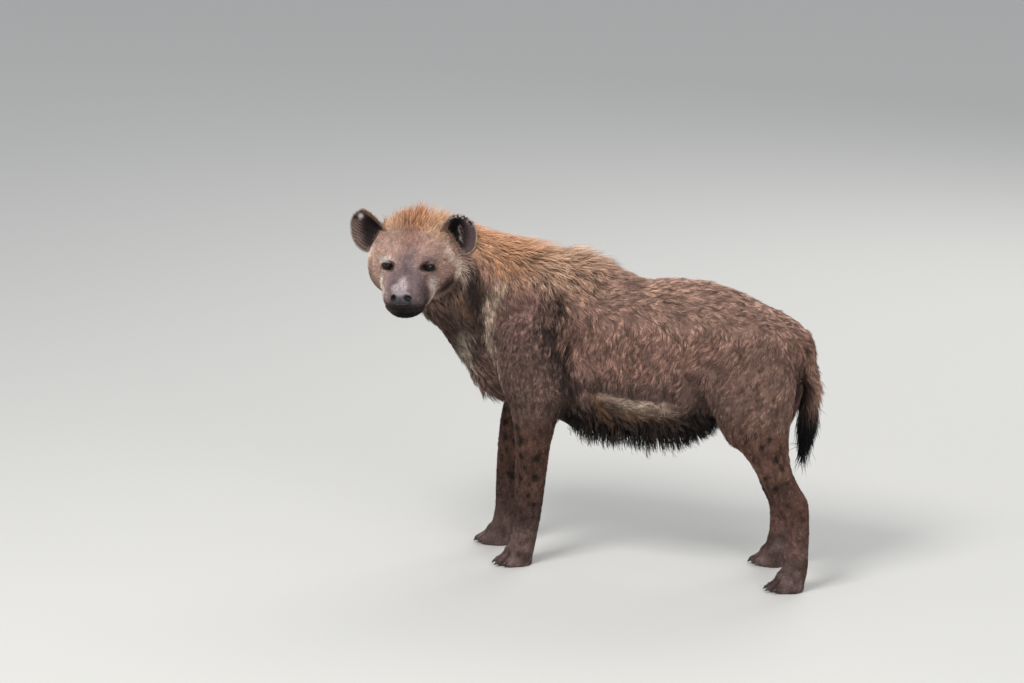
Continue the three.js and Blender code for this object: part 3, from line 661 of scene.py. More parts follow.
def markings(place):
    """The colour of the coat at each point."""
    rough = 9 * np.stack([noise(place["p"], 34, k) for k in (5, 6, 7)], 1)
    p = place["p"] + rough
    near = on_left(p)
    h = place["uvw"] + rough * 0.5
    u, v, w = h.T
    hv = np.stack([u, np.abs(v), w], 1)
    a, t, share = place["a"] + 0.012 * rough[:, 0], place["spine"]["t"], place["share"]
    x, z = p[:, 0], p[:, 2]

    body = np.tile(linear("#9b786a"), (len(p), 1))
    # Painted light by turn round the body: a painted highlight makes the back lighter, painted shade makes
    # the lower flank darker.
    body = tint(body, "#a88776", (1 - smooth(a, 0.3, 1.15)) * (1 - smooth(x, 330, 450)))
    body = tint(body, "#7b6158", smooth(a, 1.35, 1.9) * 0.9)
    body = paint(body, near, HIDE_MARKS)
    body = tint(body, "#d8b295", (1 - smooth(a, 0.15, 0.72)) * smooth(t, 0.48, 0.7))
    body = tint(body, "#c99a78", (1 - smooth(a, 0.5, 1.1)) * smooth(t, 0.68, 0.78))
    body = tint(body, "#a8846e", smooth(a, 1.0, 1.5) * smooth(t, 0.7, 0.78))
    body = tint(body, "#5f4c43", smooth(a, 1.7, 2.3) * smooth(t, 0.68, 0.76))
    body = paint(body, near, NECK_MARKS)
    # Dark wet locks behind the shoulder; part of their dark is painted shade in the gaps between the locks.
    knots = streak(near, [(-205, -100, 730), (-190, -108, 670), (-178, -119, 590), (-168, -124, 530)], 26)
    body = tint(body, "#33261f", knots * np.clip(0.62 + 0.7 * noise(p, 17, 9), 0, 1))
    # Painted shadow: a near-black streak in the groove behind the upper arm and the elbow.
    elbow_shadow = streak(near, [(-196, -108, 660), (-172, -118, 612), (-156, -119, 540), (-150, -108, 450),
                          (-160, -90, 400)], 14, 0.8)
    body = tint(body, "#140e0c", elbow_shadow * smooth(-z, -700, -590))
    # Painted shade: near black in the lower part of the fold where the flank meets the thigh.
    fold = streak(near, [(184, -122, 560), (196, -114, 510), (216, -96, 458), (240, -64, 404)], 9, 0.9)
    body = tint(body, "#1a1210", fold * smooth(-z, -575, -480))
    # Painted light and shade: level bands of lighter and darker colour along the wrinkles over the upper arm.
    wrinkle_shading = np.sin(place["p"][:, 2] / 3.1 + 4 * noise(place["p"], 40, 21))
    body = body * (1 + 0.36 * wrinkles(p) * wrinkle_shading)[:, None]
    body = paint(body, near, ARM_MARKS)
    # Painted shade on the underside: darker behind the forelegs, near black under the belly and on its
    # fringe.
    under = smooth(a, 1.98, 2.22) * smooth(-z, -480, -440) * smooth(x, -260, -180)
    body = tint(body, "#43352e", under)
    body = tint(body, "#1c1512", smooth(a, 2.4, 2.75) * smooth(x, -260, -180) * (1 - smooth(x, 260, 330)))
    pale = streak(near, [(-46, -130, 470), (7, -133, 456), (85, -128, 445), (122, -128, 448)], 17, 1)
    pale = pale * smooth(x, -84, -10) * (1 - smooth(x, 90, 158))
    body = tint(body, "#cbb5a0", pale * np.clip(0.8 + 0.4 * noise(p / (3, 1, 1), 14, 14), 0, 1))
    body = paint(body, near, BAND_MARKS)

    fore = np.tile(linear("#6a534b"), (len(p), 1))
    fore = paint(fore, near, FORELEG_MARKS)
    fore = tint(fore, "#65493d", 1 - smooth(z, 350, 420))
    fore = tint(fore, "#57423a", 1 - smooth(z, 150, 230))
    shin = streak(near, [(-306, -80, 360), (-302, -84, 240), (-300, -86, 150)], 6)
    fore = tint(fore, "#a08a7a", shin * 0.8)
    hind = np.tile(linear("#86695d"), (len(p), 1))
    hind = tint(hind, "#76564a", 1 - smooth(z, 380, 470))
    hind = tint(hind, "#63473e", 1 - smooth(z, 230, 320))
    hind = tint(hind, "#775850", 1 - smooth(z, 130, 200))
    for k, (leg, spots) in enumerate({"foreleg_left": FORE_SPOTS, "foreleg_right": FORE_SPOTS,
                                      "hindleg_left": HIND_SPOTS, "hindleg_right": HIND_SPOTS}.items()):
        colour = fore if leg.startswith("fore") else hind
        middle = curve(LEGS[leg]["path"], place[leg]["t"])[:, 0] - curve(
            LEGS[leg.replace("right", "left")]["path"], place[leg]["t"])[:, 0]
        flat = np.stack([x - middle - 0.3 * rough[:, 0], z - 0.3 * rough[:, 2]], 1)
        dark = np.zeros(len(p))
        ragged = noise(place["p"], 7, 52)
        for sx, sz, size in spots:
            d = np.linalg.norm((flat - (sx, sz)) / (1, 1.25), axis=1) / (size * 0.85)
            d = d + 0.4 * ragged
            dark = np.maximum(dark, (1 - smooth(d, 0.3, 1.6)) * (1 if sz < 440 else 0.5))
        inner = smooth(noise(p, 19, 30 + k), 0.35, 0.6) * 0.5 * (1 - smooth(z, 420, 560))
        streaks = noise(place["p"] / (3.5, 3.5, 13), 1, 48 + k)
        uneven = 1 + 0.3 * noise(p, 12, 40 + k) + 0.22 * noise(p, 30, 44 + k) + 0.4 * streaks
        colour = colour * uneven[:, None]
        colour = tint(colour, "#231915", np.maximum(dark, inner * 0.7))
        body = body + (colour - body) * share[leg][:, None]
    paws = tint(np.tile(linear("#846d68"), (len(p), 1)), "#58453e", 0.5 + 0.8 * noise(p, 17, 4))
    # Painted shade in the grooves between the toes.
    paws = tint(paws, "#1d1512", toe_gaps(place["p"]) * 0.8)
    body = body + (paws - body) * (1 - smooth(z, 24, 140))[:, None]
    tail = np.tile(linear("#9c7a69"), (len(p), 1))
    tail = tint(tail, "#1a1310", smooth(-x, -454, -440) * (1 - smooth(z, 610, 650)))
    tail = tint(tail, "#0b0807", smooth(-z + 0.5 * (451 - x), -520, -470))
    tail = tint(tail, "#060505", 1 - smooth(z, 400, 500))
    body = body + (tail - body) * smooth(share["tail"], 0.1, 0.6)[:, None]

    face = np.tile(linear("#bd9a8a"), (len(p), 1))
    face = paint(face, h, CHEEK_MARKS)
    face = tint(face, "#dbae88", smooth(w, 52, 96) * (1 - smooth(u, 8, 56)))
    face = paint(face, h, BROW_MARKS)
    face = paint(face, hv, NAPE_MARKS)
    face = paint(face, h, TEMPLE_MARKS)
    face = tint(face, "#877170", smooth(u, 100, 150))
    face = paint(face, h, FACE_MARKS)
    deep = -w - 0.3 * np.abs(v - 8)
    face = tint(face, "#2c2220", smooth(deep, 54, 80) * smooth(u, 110, 150) * 0.9)
    face = tint(face, "#1b1513", smooth(deep, 74, 106) * smooth(u, 80, 130))
    face = paint(face, h, LID_MARKS)
    face = tint(face, "#4f4041", patch(hv, (106, 35, -6), (22, 10, 9), 0.7) * 0.7)
    face = paint(face, h, CREAM_MARKS)
    for at in FLECKS:
        face = tint(face, "#4a3a35", patch(h, at, (6, 7, 4)) * 0.75)
    body = body + (face - body) * share["head"][:, None]
    ruff = streak(hv, [(44, 104, 34), (30, 112, 14), (12, 119, -6), (10, 120, -26)], 14, 0.9)
    body = tint(body, "#f0d8c6", ruff * 0.92)
    wet = share["spine"] * (1 - smooth(t, 0.7, 0.8))
    broad, narrow = noise(place["p"], 36, 12), noise(place["p"], 13, 13)
    mottle = 1 + (0.1 + 0.1 * wet) * broad + (0.08 + 0.08 * wet) * narrow
    warped = place["p"] + 9 * np.stack([noise(place["p"], 38, k) for k in (61, 62, 63)], 1)
    level = (1 - smooth(a, 0.4, 1.0))[:, None]
    lengths = (5.0, 5, 16) + level * (11.0, 0, -11)
    mottle += 0.2 * noise(warped / lengths, 1, 15) * (1 - 0.5 * share["head"])
    # Painted shade: thin dark lines in the gaps between the locks, taken off the colour below.
    gaps = np.exp(-(noise(warped / (lengths * 1.9), 1, 64) / 0.2) ** 2)
    gaps = gaps * (1 - share["head"]) * (1 - smooth(t, 0.74, 0.84))
    mottle -= 0.3 * gaps * np.where(z > 130, 1, 0) * (1 - share["tail"])
    mottle += 0.09 * (1 - share["head"])
    speckle = 0.24 * noise(place["uvw"] / (14, 4, 6), 1, 16) + 0.12 * noise(place["uvw"], 13, 17)
    mottle += share["head"] * (speckle + 0.14 * noise(place["uvw"], 5, 18))
    return np.clip(body * mottle[:, None], 0.001, 1)


# The skin

def ear_rim(side):
    """The rim of an ear as angles and distances round its hollow, in the plane of its opening."""
    rim = np.array(EAR_RIMS[side], float) - EAR_HOLLOW
    angle, reach = np.arctan2(rim[:, 1], rim[:, 0]), np.hypot(*rim.T)
    order = np.argsort(angle)
    return angle[order], reach[order]


def ear_round(side, across, up):
    """How far out a place is in the plane of an ear: 0 in its hollow, 1 on its rim."""
    across, up = across - EAR_HOLLOW[0], up - EAR_HOLLOW[1]
    angle, reach = ear_rim(side)
    rim = np.interp(np.arctan2(up, across), angle, reach, period=2 * np.pi)
    return np.hypot(across, up) / rim, rim


def ear_depth(out):
    """How deep the leaf of an ear lies behind the plane of its rim."""
    return -EAR_DEEP * np.clip(1 - out, 0, 1) ** 1.25 - 3 * bell(out, 0.8, 0.15)


def ear_local(side, p):
    """Points in an ear's own frame: forward out of its opening, outwards from the head, and up."""
    return (p - in_head(EAR_U, side * EAR_V, EAR_W)) @ ear_axes(side) * (1, side, 1)


def from_ear(side, local):
    return in_head(EAR_U, side * EAR_V, EAR_W) + (local * (1, side, 1)) @ ear_axes(side).T


def outwards(local):
    """Distance outwards from the line where an ear grows out of the head."""
    return local[:, 1] + 23 + 0.13 * np.maximum(local[:, 2], 0)


def face_shape(h):
    """Sets the muzzle a little to the left, draws the chin back under the nose and fills the jowls."""
    u, v, w = h.T
    muzzle = smooth(u, 50, 200)
    low = smooth(-w, 78, 104) * smooth(u, 120, 170)
    hv = np.abs(v)
    jowl = patch(np.stack([u, hv, w], 1), (92, 56, -84), (40, 40, 34), 0.9)
    made = h * (1, 1, 1)
    made[:, 1] += 5 * muzzle + 3 * low + np.sign(v) * np.where(v > 0, 12, 7) * jowl
    made[:, 0] -= 22 * low * smooth(u, 150, 210)
    made[:, 1] += 6 * smooth(-v, 20, 50) * smooth(u, 130, 190)
    made[:, 2] -= 4 * low + 2 * jowl
    return made


def eye_axes(side):
    """The eye's own axes: across to the animal's left, up, and out along the gaze."""
    gaze = HEAD_AXES @ unit(np.array([60.0, side * 14 + 5, 9]))
    across = HEAD_AXES @ np.array([0, 1.0, 0])
    across = unit(across - gaze * (across @ gaze))
    return np.stack([across, np.cross(gaze, across), gaze], 1)


EYES = {1: in_head(EYE_U + 13, 57, EYE_W), -1: in_head(EYE_U + 17, -48, EYE_W)}
LID_HALF, LID_UPPER, LID_LOWER = 12.8, 2.9, 6.0


def lid_height(a, side):
    """Heights of the upper and the lower lid's edge at a across the eye. The inner corner is lower."""
    arch = np.sqrt(np.clip(1 - (a / LID_HALF) ** 2, 0, 1))
    tilt = 0.12 * a * side
    return tilt + LID_UPPER * arch**0.55, tilt - LID_LOWER * arch


def lid_depth(flat):
    """How far in front of the eye's centre the lids lie, at a distance from the gaze."""
    return np.sqrt(np.clip((EYE_RADIUS + 0.7) ** 2 - np.minimum(flat, EYE_RADIUS) ** 2, 4, None))


def mouth_height(u):
    return np.interp(u, [84, 96, 125, 165, 200, 240], [-76, -82, -93, -87, -92, -94])


# The skin's mesh: its voxels in metres, the height below which the paws are finer, and the height under
# which it is pressed flat on the floor.
VOXEL, PAW_TOP, SOLE = 0.0064, 52, 1.2
flesh = [loft(SPINE, 64, 96), loft(HEAD, 64, 64), loft(TAIL, 24, 36)]
for leg, shape in LEGS.items():
    flesh += [loft(shape, 40, 60), *paw_pieces(leg)]
for side in (1, -1):
    flesh.append(egg(EYES[side], EYE_RADIUS + 1.6, np.eye(3)))
    flesh.append(egg(from_ear(side, np.array([-32.0, -16, -6])), (18, 26, 34), ear_axes(side)))
flesh.append(egg(in_head(NOSE_U - 3, 0, NOSE_W), (NOSE_DEEP - 3, NOSE_HALF - 4, NOSE_TALL - 3), HEAD_AXES))
skin = join(flesh, "skin")
apply(skin, "REMESH", mode="VOXEL", voxel_size=VOXEL)


def relax(obj, amount, rounds):
    """Smooths the mesh, each vertex by its own amount from 0 to 1."""
    group = obj.vertex_groups.new(name="relax")
    for level in range(1, 9):
        chosen = np.nonzero(np.round(amount * 8) == level)[0].tolist()
        if chosen:
            group.add(chosen, level / 8, "REPLACE")
    apply(obj, "SMOOTH", factor=0.5, iterations=rounds, vertex_group="relax")
    obj.vertex_groups.clear()


def centres(obj):
    return (raw(obj, "polygons", "center") - SHIFT) / MM


def refine(obj, chosen):
    """Cuts each of the chosen faces in four."""
    bare(obj)
    bpy.ops.object.mode_set(mode="EDIT")
    bpy.ops.mesh.select_mode(type="FACE")
    bpy.ops.mesh.select_all(action="DESELECT")
    bpy.ops.object.mode_set(mode="OBJECT")
    obj.data.polygons.foreach_set("select", chosen)
    bpy.ops.object.mode_set(mode="EDIT")
    bpy.ops.mesh.subdivide(number_cuts=1, smoothness=0)
    bpy.ops.object.mode_set(mode="OBJECT")


p = points_of(skin)
u, v, w = to_head(p).T
of_head = smooth(u, -40, 10) * (np.abs(v) < 130) * (w > -130)
relax(skin, np.clip(1 - 0.75 * of_head - 0.75 * (1 - smooth(p[:, 2], 60, 110)), 0.12, 1), 9)
u, v, w = to_head(centres(skin)).T
refine(skin, (u > -20) & (np.abs(v) < 125) & (w > -125) & (w < 120))
u, v, w = to_head(centres(skin)).T
eyes_near = (np.hypot(np.abs(v) - 48, w - EYE_W) < 28) & (u > 50)
muzzle_near = (u > 120) & (np.abs(v) < 70) & (w < 5)
refine(skin, eyes_near | muzzle_near)
refine(skin, centres(skin)[:, 2] < PAW_TOP)
relax(skin, 0.6 * np.ones(len(skin.data.vertices)), 2)


# Folds and muscles: height in millimetres, middle or line of points, reach and softness.
FOLDS = [
    (-8, [(172, -128, 540), (182, -118, 486), (204, -95, 428), (224, -60, 384)], 12, 0.8),
    (12, [(216, -118, 530), (222, -112, 483), (246, -92, 425), (276, -100, 380)], 22, 0.9),
    (-8, [(-156, -118, 590), (-154, -119, 518), (-156, -105, 449), (-170, -80, 400)], 11, 0.8),
    (7, [(-186, -120, 580), (-184, -121, 518), (-186, -110, 449)], 16, 0.9),
    (-3.5, [(-80, -132, 490), (0, -138, 482), (70, -138, 478), (150, -124, 486)], 9, 0.8),
    (3.0, [(-62, -128, 470), (0, -133, 458), (60, -132, 454), (138, -124, 462)], 9, 0.8),
    (4, (-300, -110, 470), (26, 60, 60), 0.9),
    (5, (-178, -110, 445), (22, 50, 30), 0.9),
    (-3, [(-330, -60, 700), (-352, -95, 640), (-350, -105, 560)], 12, 0.9)]
THIGH_FOLDS = [
    (-3, [(392, -120, 500), (402, -120, 400), (420, -112, 320)], 12, 0.9),
    (3, (330, -130, 400), (40, 50, 50), 0.9)]


def sculpt(place, plan):
    """Height added to the skin: coat depth taken off, folds, muscles and wrinkles put on."""
    p = place["p"]
    near = on_left(p)
    u, v, w = place["uvw"].T
    hv = np.abs(v)
    sides = np.stack([u, hv, w], 1)
    z = p[:, 2]
    lift = -np.clip(plan["length"] * 0.2, 0.8, 7.5)
    for height, at, reach, soft in FOLDS:
        lift += height * mark(near, at, reach, soft)
    wrinkle = patch(near, (-280, -130, 600), (62, 60, 56), 0.6)
    lift += 1.6 * wrinkle * np.sin(z / 3.1 + 4 * noise(p, 40, 21))
    for height, at, reach, soft in THIGH_FOLDS:
        lift += height * mark(near, at, reach, soft)
    for leg in ("hindleg_left", "hindleg_right"):
        heel = patch(p, LEGS[leg]["path"][6] + (34, 0, 4), (16, 20, 26), 0.8)
        lift += 4 * heel * place["share"][leg]
    tendon = (1 - smooth(z, 200, 260)) * smooth(z, 90, 130)
    for leg in LEGS:
        turn = np.abs(place[leg]["turn"])
        lift -= 2.0 * tendon * place["share"][leg] * bell(turn, 2.1, 0.35)
    lift += 1.0 * noise(p, 46, 22) * place["share"]["spine"]
    lift -= 4.5 * toe_gaps(p)
    mouth = np.abs(w - mouth_height(u)) / 2.6
    lift -= 4.2 * np.exp(-(mouth**2)) * smooth(u, 84, 104) * (hv > 12)
    lift -= 3.4 * np.exp(-(mouth**2)) * smooth(u, 84, 104) * (hv <= 12)
    lift -= 1.6 * bell(v, 0, 3) * smooth(u, 192, 204) * smooth(w, -98, -88)
    lift += 1.2 * patch(sides, (96, 46, 22), (16, 14, 5), 0.8)
    ridges = patch(sides, (120, 30, -30), (26, 22, 26), 0.6)
    lift += 0.7 * ridges * np.sin((u - 0.8 * w) / 2.4)
    lift -= 1.8 * streak(sides, [(104, 44, -6), (122, 46, -30), (128, 50, -52)], 6, 0.8)
    lift -= 4 * patch(sides, (104, 32, -1), (16, 12, 9), 0.8)
    lift += 4 * patch(sides, (96, 48, 16), (16, 22, 7), 0.8)
    return lift


p = points_of(skin)
place = survey(p)
plan = coat_plan(place)
p = p + normals_of(skin) * sculpt(place, plan)[:, None]
of_face = place["share"]["head"] * smooth(place["uvw"][:, 0], 30, 60)
p += ((face_shape(to_head(p)) - to_head(p)) * of_face[:, None]) @ HEAD_AXES.T
for side in (1, -1):
    local = ear_local(side, p)
    out, _ = ear_round(side, local[:, 1], local[:, 2])
    behind = ear_depth(out) - 5
    held = smooth(outwards(local), -2, 6) * (1 - smooth(out, 1.0, 1.25)) * (local[:, 0] < 70)
    local[:, 0] -= held * np.maximum(local[:, 0] - behind, 0) * (local[:, 0] > -80)
    p = from_ear(side, local)
    centre, axes = EYES[side], eye_axes(side)
    local = (p - centre) @ axes
    a, b, g = local.T
    upper, lower = lid_height(a, side)
    socket = np.hypot(a / 22, b / np.where(b > 0, 12, 15))
    most = lid_depth(np.hypot(a, b)) + 1.0 + 26 * smooth(socket, 0.7, 1.7) + 5000 * (socket > 1.7)
    local[:, 2] = np.where(g > 0, np.minimum(g, most), g)
    least = np.maximum(local[:, 2], lid_depth(np.hypot(a, b)) - 3)
    local[:, 2] = np.where((socket < 0.95) & (g > -9), least, local[:, 2])
    around = np.linalg.norm(local, axis=1)
    g = local[:, 2]
    outside = (around < EYE_RADIUS + 1.0) & (g > 0)
    local[outside] *= ((EYE_RADIUS + 1.0) / around[outside])[:, None]
    inside = (np.abs(a) < LID_HALF) & (b < upper + 0.6) & (b > lower - 0.6)
    inside &= (g > 0) & (around < EYE_RADIUS + 14)
    local[inside, 2] = np.minimum(local[inside, 2], 1.0)
    p = centre + local @ axes.T
h = to_head(p)
footprint = np.hypot((h[:, 1] - 5.5) / 27, (h[:, 2] - NOSE_W + 2) / 17)
h[:, 0] = np.where(h[:, 0] > 180, np.minimum(h[:, 0], 193 + 40 * smooth(footprint, 0.8, 1.3)), h[:, 0])
p = HEAD_AT + h @ HEAD_AXES.T
p[:, 2] = np.where(p[:, 2] < SOLE, 0.0, p[:, 2])
put_points(skin, p)
shade(skin)


# Eyes, eyelids, nose, ears and claws

def eye(side):
    """An eyeball with a raised cornea. The attribute gaze is the distance from the middle of the pupil."""
    obj = ball("eye", 48, 32)
    p = raw(obj)
    out = np.degrees(np.arccos(np.clip(p[:, 2], -1, 1)))
    radius = EYE_RADIUS + 1.1 * (1 - smooth(out, 18, 34))
    put_points(obj, EYES[side] + (p * radius[:, None]) @ eye_axes(side).T)
    attribute(obj, "gaze", out / 90)
    return obj


def eyelid(side):
    """A soft rim that runs round the opening of the lids, thicker above."""
    bpy.ops.object.select_all(action="DESELECT")
    bpy.ops.mesh.primitive_torus_add(major_segments=64, minor_segments=12, major_radius=1, minor_radius=0.25)
    obj = bpy.context.object
    p = raw(obj)
    angle = np.arctan2(p[:, 1], p[:, 0])
    small = np.arctan2(p[:, 2], np.hypot(p[:, 0], p[:, 1]) - 1)
    a = LID_HALF * np.cos(angle)
    upper, lower = lid_height(a, side)
    b = np.where(angle > 0, upper, lower)
    thick = 1.1 + 1.3 * np.clip(np.sin(angle), 0, 1)
    out = unit(np.stack([a / LID_HALF, np.where(angle > 0, 1, -1) * np.abs(np.sin(angle)) + 1e-3, 0 * a], 1))
    ring = np.stack([a, b, 0 * a], 1)
    local = ring + out * (thick * (1.0 + 0.9 * np.cos(small)))[:, None]
    flat = np.hypot(local[:, 0], local[:, 1])
    local[:, 2] = lid_depth(flat) + 1.3 + thick * 0.9 * np.sin(small) - 0.3 * np.maximum(flat - 10, 0)
    return put_points(obj, EYES[side] + local @ eye_axes(side).T)


def nose():
    """A broad bare pad with a comma-shaped nostril each side and a groove between them."""
    obj = ball("nose_pad", 96, 64)
    d = raw(obj)
    d = np.stack([d[:, 2], d[:, 0], d[:, 1]], 1)
    boxy = (np.abs(d) ** 2.5).sum(1) ** (-1 / 2.5)
    local = d * boxy[:, None] * (NOSE_DEEP - 3, NOSE_HALF * 0.94, NOSE_TALL * 0.92)
    fu, fv, fw = local.T
    hv = np.abs(fv)
    wide = np.where(fv > 0, 8.6, 6.6)
    hole = np.exp(-(((hv - 18) / wide) ** 2 + ((fw + 0.22 * (hv - 18) - 1) / 7.6) ** 2) ** 1.5)
    slit = np.exp(-(((hv - 24) / 6) ** 2 + ((fw + 5.5) / 2.4) ** 2))
    front = smooth(fu, 2, 9)
    local[:, 0] -= front * (13 * hole + 5 * slit + 2.2 * np.exp(-(fv / 1.7) ** 2) * smooth(-fw, -6, 4))
    local[:, 0] += 1.6 * front * np.exp(-(((hv - 15) / 11) ** 2 + ((fw - 8) / 4.5) ** 2))
    set_in = face_shape(local + (NOSE_U, 0, NOSE_W - 2))
    p = put_points(obj, HEAD_AT + set_in @ HEAD_AXES.T)
    # The hollow of the nostrils and the rise over the pad, where the leather material paints shade: near
    # black inside the nostrils, darker low on the pad.
    attribute(obj, "hollow", np.clip(front * (hole * 1.3 + slit * 0.7), 0, 1))
    attribute(obj, "rise", (fw + 20) / 40)
    return p


# Marks in the hollow of the right ear. The first and the last are painted shade: down the deep hollow and
# under the rolled fold.
RIGHT_EAR_MARKS = [
    ("#211817", [(0, 24, 20), (0, 6, 9), (0, -5, -8), (0, -6, -31)], 15, 0.8, 0.8),
    ("#e2d0d3", (0, 49, 12), (20, 5, 7), 0.9, 0.9),
    ("#2c2322", (0, 60, 1), (20, 7, 6), 0.6, 0.9),
    ("#2a201e", [(0, -26, 27), (0, 10, 30), (0, 40, 31)], 5, 0.8, 0.9)]


def ear(side):
    """A thin leaf of skin and cartilage with a deep hollow near the head, its front edge rolled over. The
    left ear's rim is notched and crusted."""
    obj = ball("ear", 120, 56)
    d = raw(obj)
    polar = np.arccos(np.clip(d[:, 2], -1, 1)) / (np.pi / 2)
    front = polar <= 1.0001
    out = np.where(front, polar, 2 - polar)
    angle = np.arctan2(d[:, 1], d[:, 0])
    at, reach = ear_rim(side)
    rim = np.interp(angle, at, reach, period=2 * np.pi)
    if side == 1:
        ragged = smooth(angle, -0.5, 0.1) * (1 - smooth(angle, 1.7, 2.3))
        notch = np.sin(angle * 19) + 0.7 * np.sin(angle * 31 + 1) + 0.5 * np.sin(angle * 47)
        rim = rim * (1 - 0.028 * ragged * notch * out**6)
    across = EAR_HOLLOW[0] + rim * out * np.cos(angle)
    up = EAR_HOLLOW[1] + rim * out * np.sin(angle)
    x = ear_depth(out) - np.where(front, 0, 3.4 * np.sqrt(1 - out**6))
    flat = np.stack([0 * across, across, up], 1)
    fold = streak(flat, [(0, -32, 34), (0, 10, 37), (0, 40, 36)] if side == -1 else
                  [(0, -34, 34), (0, -12, 42), (0, 4, 45)], 10, 0.8)
    x += fold * (9 if side == -1 else 5)
    if side == 1:
        crust = ragged * smooth(out, 0.72, 0.9)
        x += np.where(front, 1, 0) * crust * (1.2 + 1.6 * noise(flat, 5, 3) + 1.2 * noise(flat, 2.6, 4))
    x += 1.6 * noise(flat, 24, 1 + side) * smooth(out, 0.4, 1)
    local = np.stack([x, across, up], 1)
    put_points(obj, from_ear(side, local))

    colour = np.tile(linear("#6b5852" if side == -1 else "#4b3d3b"), (len(d), 1))
    hair_line = np.sin(up / 1.15 + 2.6 * noise(flat, 14, 6)) * smooth(-up, -22, 2)
    colour *= (1 + 0.55 * hair_line * (0.3 if side == 1 else 1))[:, None]
    # Darker deep in the hollow: dark skin with painted shade.
    colour = tint(colour, "#1f1817", 1 - smooth(out, 0.4, 0.85))
    if side == -1:
        colour = paint(colour, flat, RIGHT_EAR_MARKS)
        colour = tint(colour, "#8a6c5a", fold * 0.9)
    else:
        # Painted shade: near black down the deep hollow of the left ear.
        black = streak(flat, [(0, 16, 25), (0, -3, 20), (0, -10, 0), (0, -12, -26)], 18, 0.7)
        colour = tint(colour, "#080505", black)
        colour = tint(colour, "#97867b", streak(flat, [(0, 20, 14), (0, 11, -9), (0, -2, -30)], 4, 0.9)
                      * np.clip(0.1 + 0.8 * noise(flat / (1, 1, 3.5), 2.4, 8), 0, 1))
        speck = np.clip(0.5 + 0.9 * noise(flat, 3.4, 9), 0, 1)
        colour = tint(colour, "#231a1c", crust * 0.95)
        colour = tint(colour, "#c9babc", crust * speck**2)
        colour = tint(colour, "#6b5142", streak(flat, [(0, -34, 34), (0, -14, 37)], 11, 0.8) * 0.9)
    colour = tint(colour, "#cdbba9", smooth(out, 0.95, 1.0) * (1 - (crust if side == 1 else 0)) * 0.9)
    back = np.tile(linear("#8f705c"), (len(d), 1))
    colour = np.where(front[:, None], colour, back)
    attribute(obj, "coat", np.clip(colour, 0.001, 1))
    shade(obj)
    return obj


def claw(leg, side, forward, yaw):
    """A blunt worn claw: a cone bent down towards its tip."""
    obj = ball("claw", 10, 10)
    d = raw(obj)
    s = (1 + d[:, 2]) / 2
    local = np.stack([13 * s, 3.4 * d[:, 0] * (1 - 0.3 * s), 4.6 * d[:, 1] * (1 - 0.3 * s) - 7 * s**2], 1)
    axes = PAWS[leg]["turn"] @ spin(math.radians(-yaw), "z") @ np.diag([-1.0, -1.0, 1.0])
    p = in_paw(leg, forward + 13, side + yaw * 0.2, 13) + local @ axes.T
    p[:, 2] = np.maximum(p[:, 2], 0.2)
    return put_points(obj, p)


eyes = join([eye(1), eye(-1)], "eyes")
lids = join([eyelid(1), eyelid(-1)], "eyelids")
pad = nose()
ears = {"ear_left": ear(1), "ear_right": ear(-1)}
claws = join([claw(leg, *toe) for leg in LEGS for toe in TOES], "claws")
for piece in (eyes, lids, pad, claws):
    shade(piece)


# The coat

def roots(obj, plan_of):
    """Places for tufts all over a mesh: each triangle gets its share of them by the plan's density."""
    obj.data.calc_loop_triangles()
    tri = np.empty(len(obj.data.loop_triangles) * 3, np.int32)
    obj.data.loop_triangles.foreach_get("vertices", tri)
    tri = tri.reshape(-1, 3)
    p, n = points_of(obj), normals_of(obj)
    a, b, c = p[tri[:, 0]], p[tri[:, 1]], p[tri[:, 2]]
    area = np.linalg.norm(np.cross(b - a, c - a), axis=1) / 2
    per_area = plan_of[tri].mean(1)
    wish = area * per_area
    count = np.floor(wish + rng.random(len(wish))).astype(int)
    which = np.repeat(np.arange(len(tri)), count)
    r1, r2 = np.sqrt(rng.random(len(which))), rng.random(len(which))
    bary = np.stack([1 - r1, r1 * (1 - r2), r1 * r2], 1)
    mix = lambda values: (values[tri[which]] * bary[:, :, None]).sum(1)
    return mix(p), unit(mix(n))


def tuft_density(place, plan, n):
    """Tufts per square millimetre of skin. Bare places get none: eyes, nose, lips and soles."""
    u, v, w = place["uvw"].T
    dense = plan["layers"] / (0.5 * plan["width"] * plan["length"])
    for side in (1, -1):
        gap = np.linalg.norm((place["uvw"] - to_head(EYES[side])) / (40, 15, 9.5), axis=1)
        dense = dense * smooth(gap, 0.85, 1.15)
    pad_reach = (NOSE_DEEP + 3, NOSE_HALF, NOSE_TALL)
    pad_gap = np.linalg.norm((place["uvw"] - (NOSE_U, 0, NOSE_W)) / pad_reach, axis=1)
    dense = dense * smooth(pad_gap, 0.95, 1.15)
    dense = dense * (1 - 0.9 * np.exp(-((w - mouth_height(u)) / 4) ** 2) * smooth(u, 90, 110))
    dense = dense * np.where((place["p"][:, 2] < 14) & (n[:, 2] < -0.2), 0, 1)
    return dense


CHARTS = {"spine": (0, 0, 0.62, 0.5), "head": (0.64, 0, 0.34, 0.34), "tail": (0.64, 0.36, 0.14, 0.14),
          "foreleg_left": (0, 0.52, 0.24, 0.46), "foreleg_right": (0.25, 0.52, 0.24, 0.46),
          "hindleg_left": (0.5, 0.52, 0.24, 0.46), "hindleg_right": (0.75, 0.52, 0.24, 0.46)}


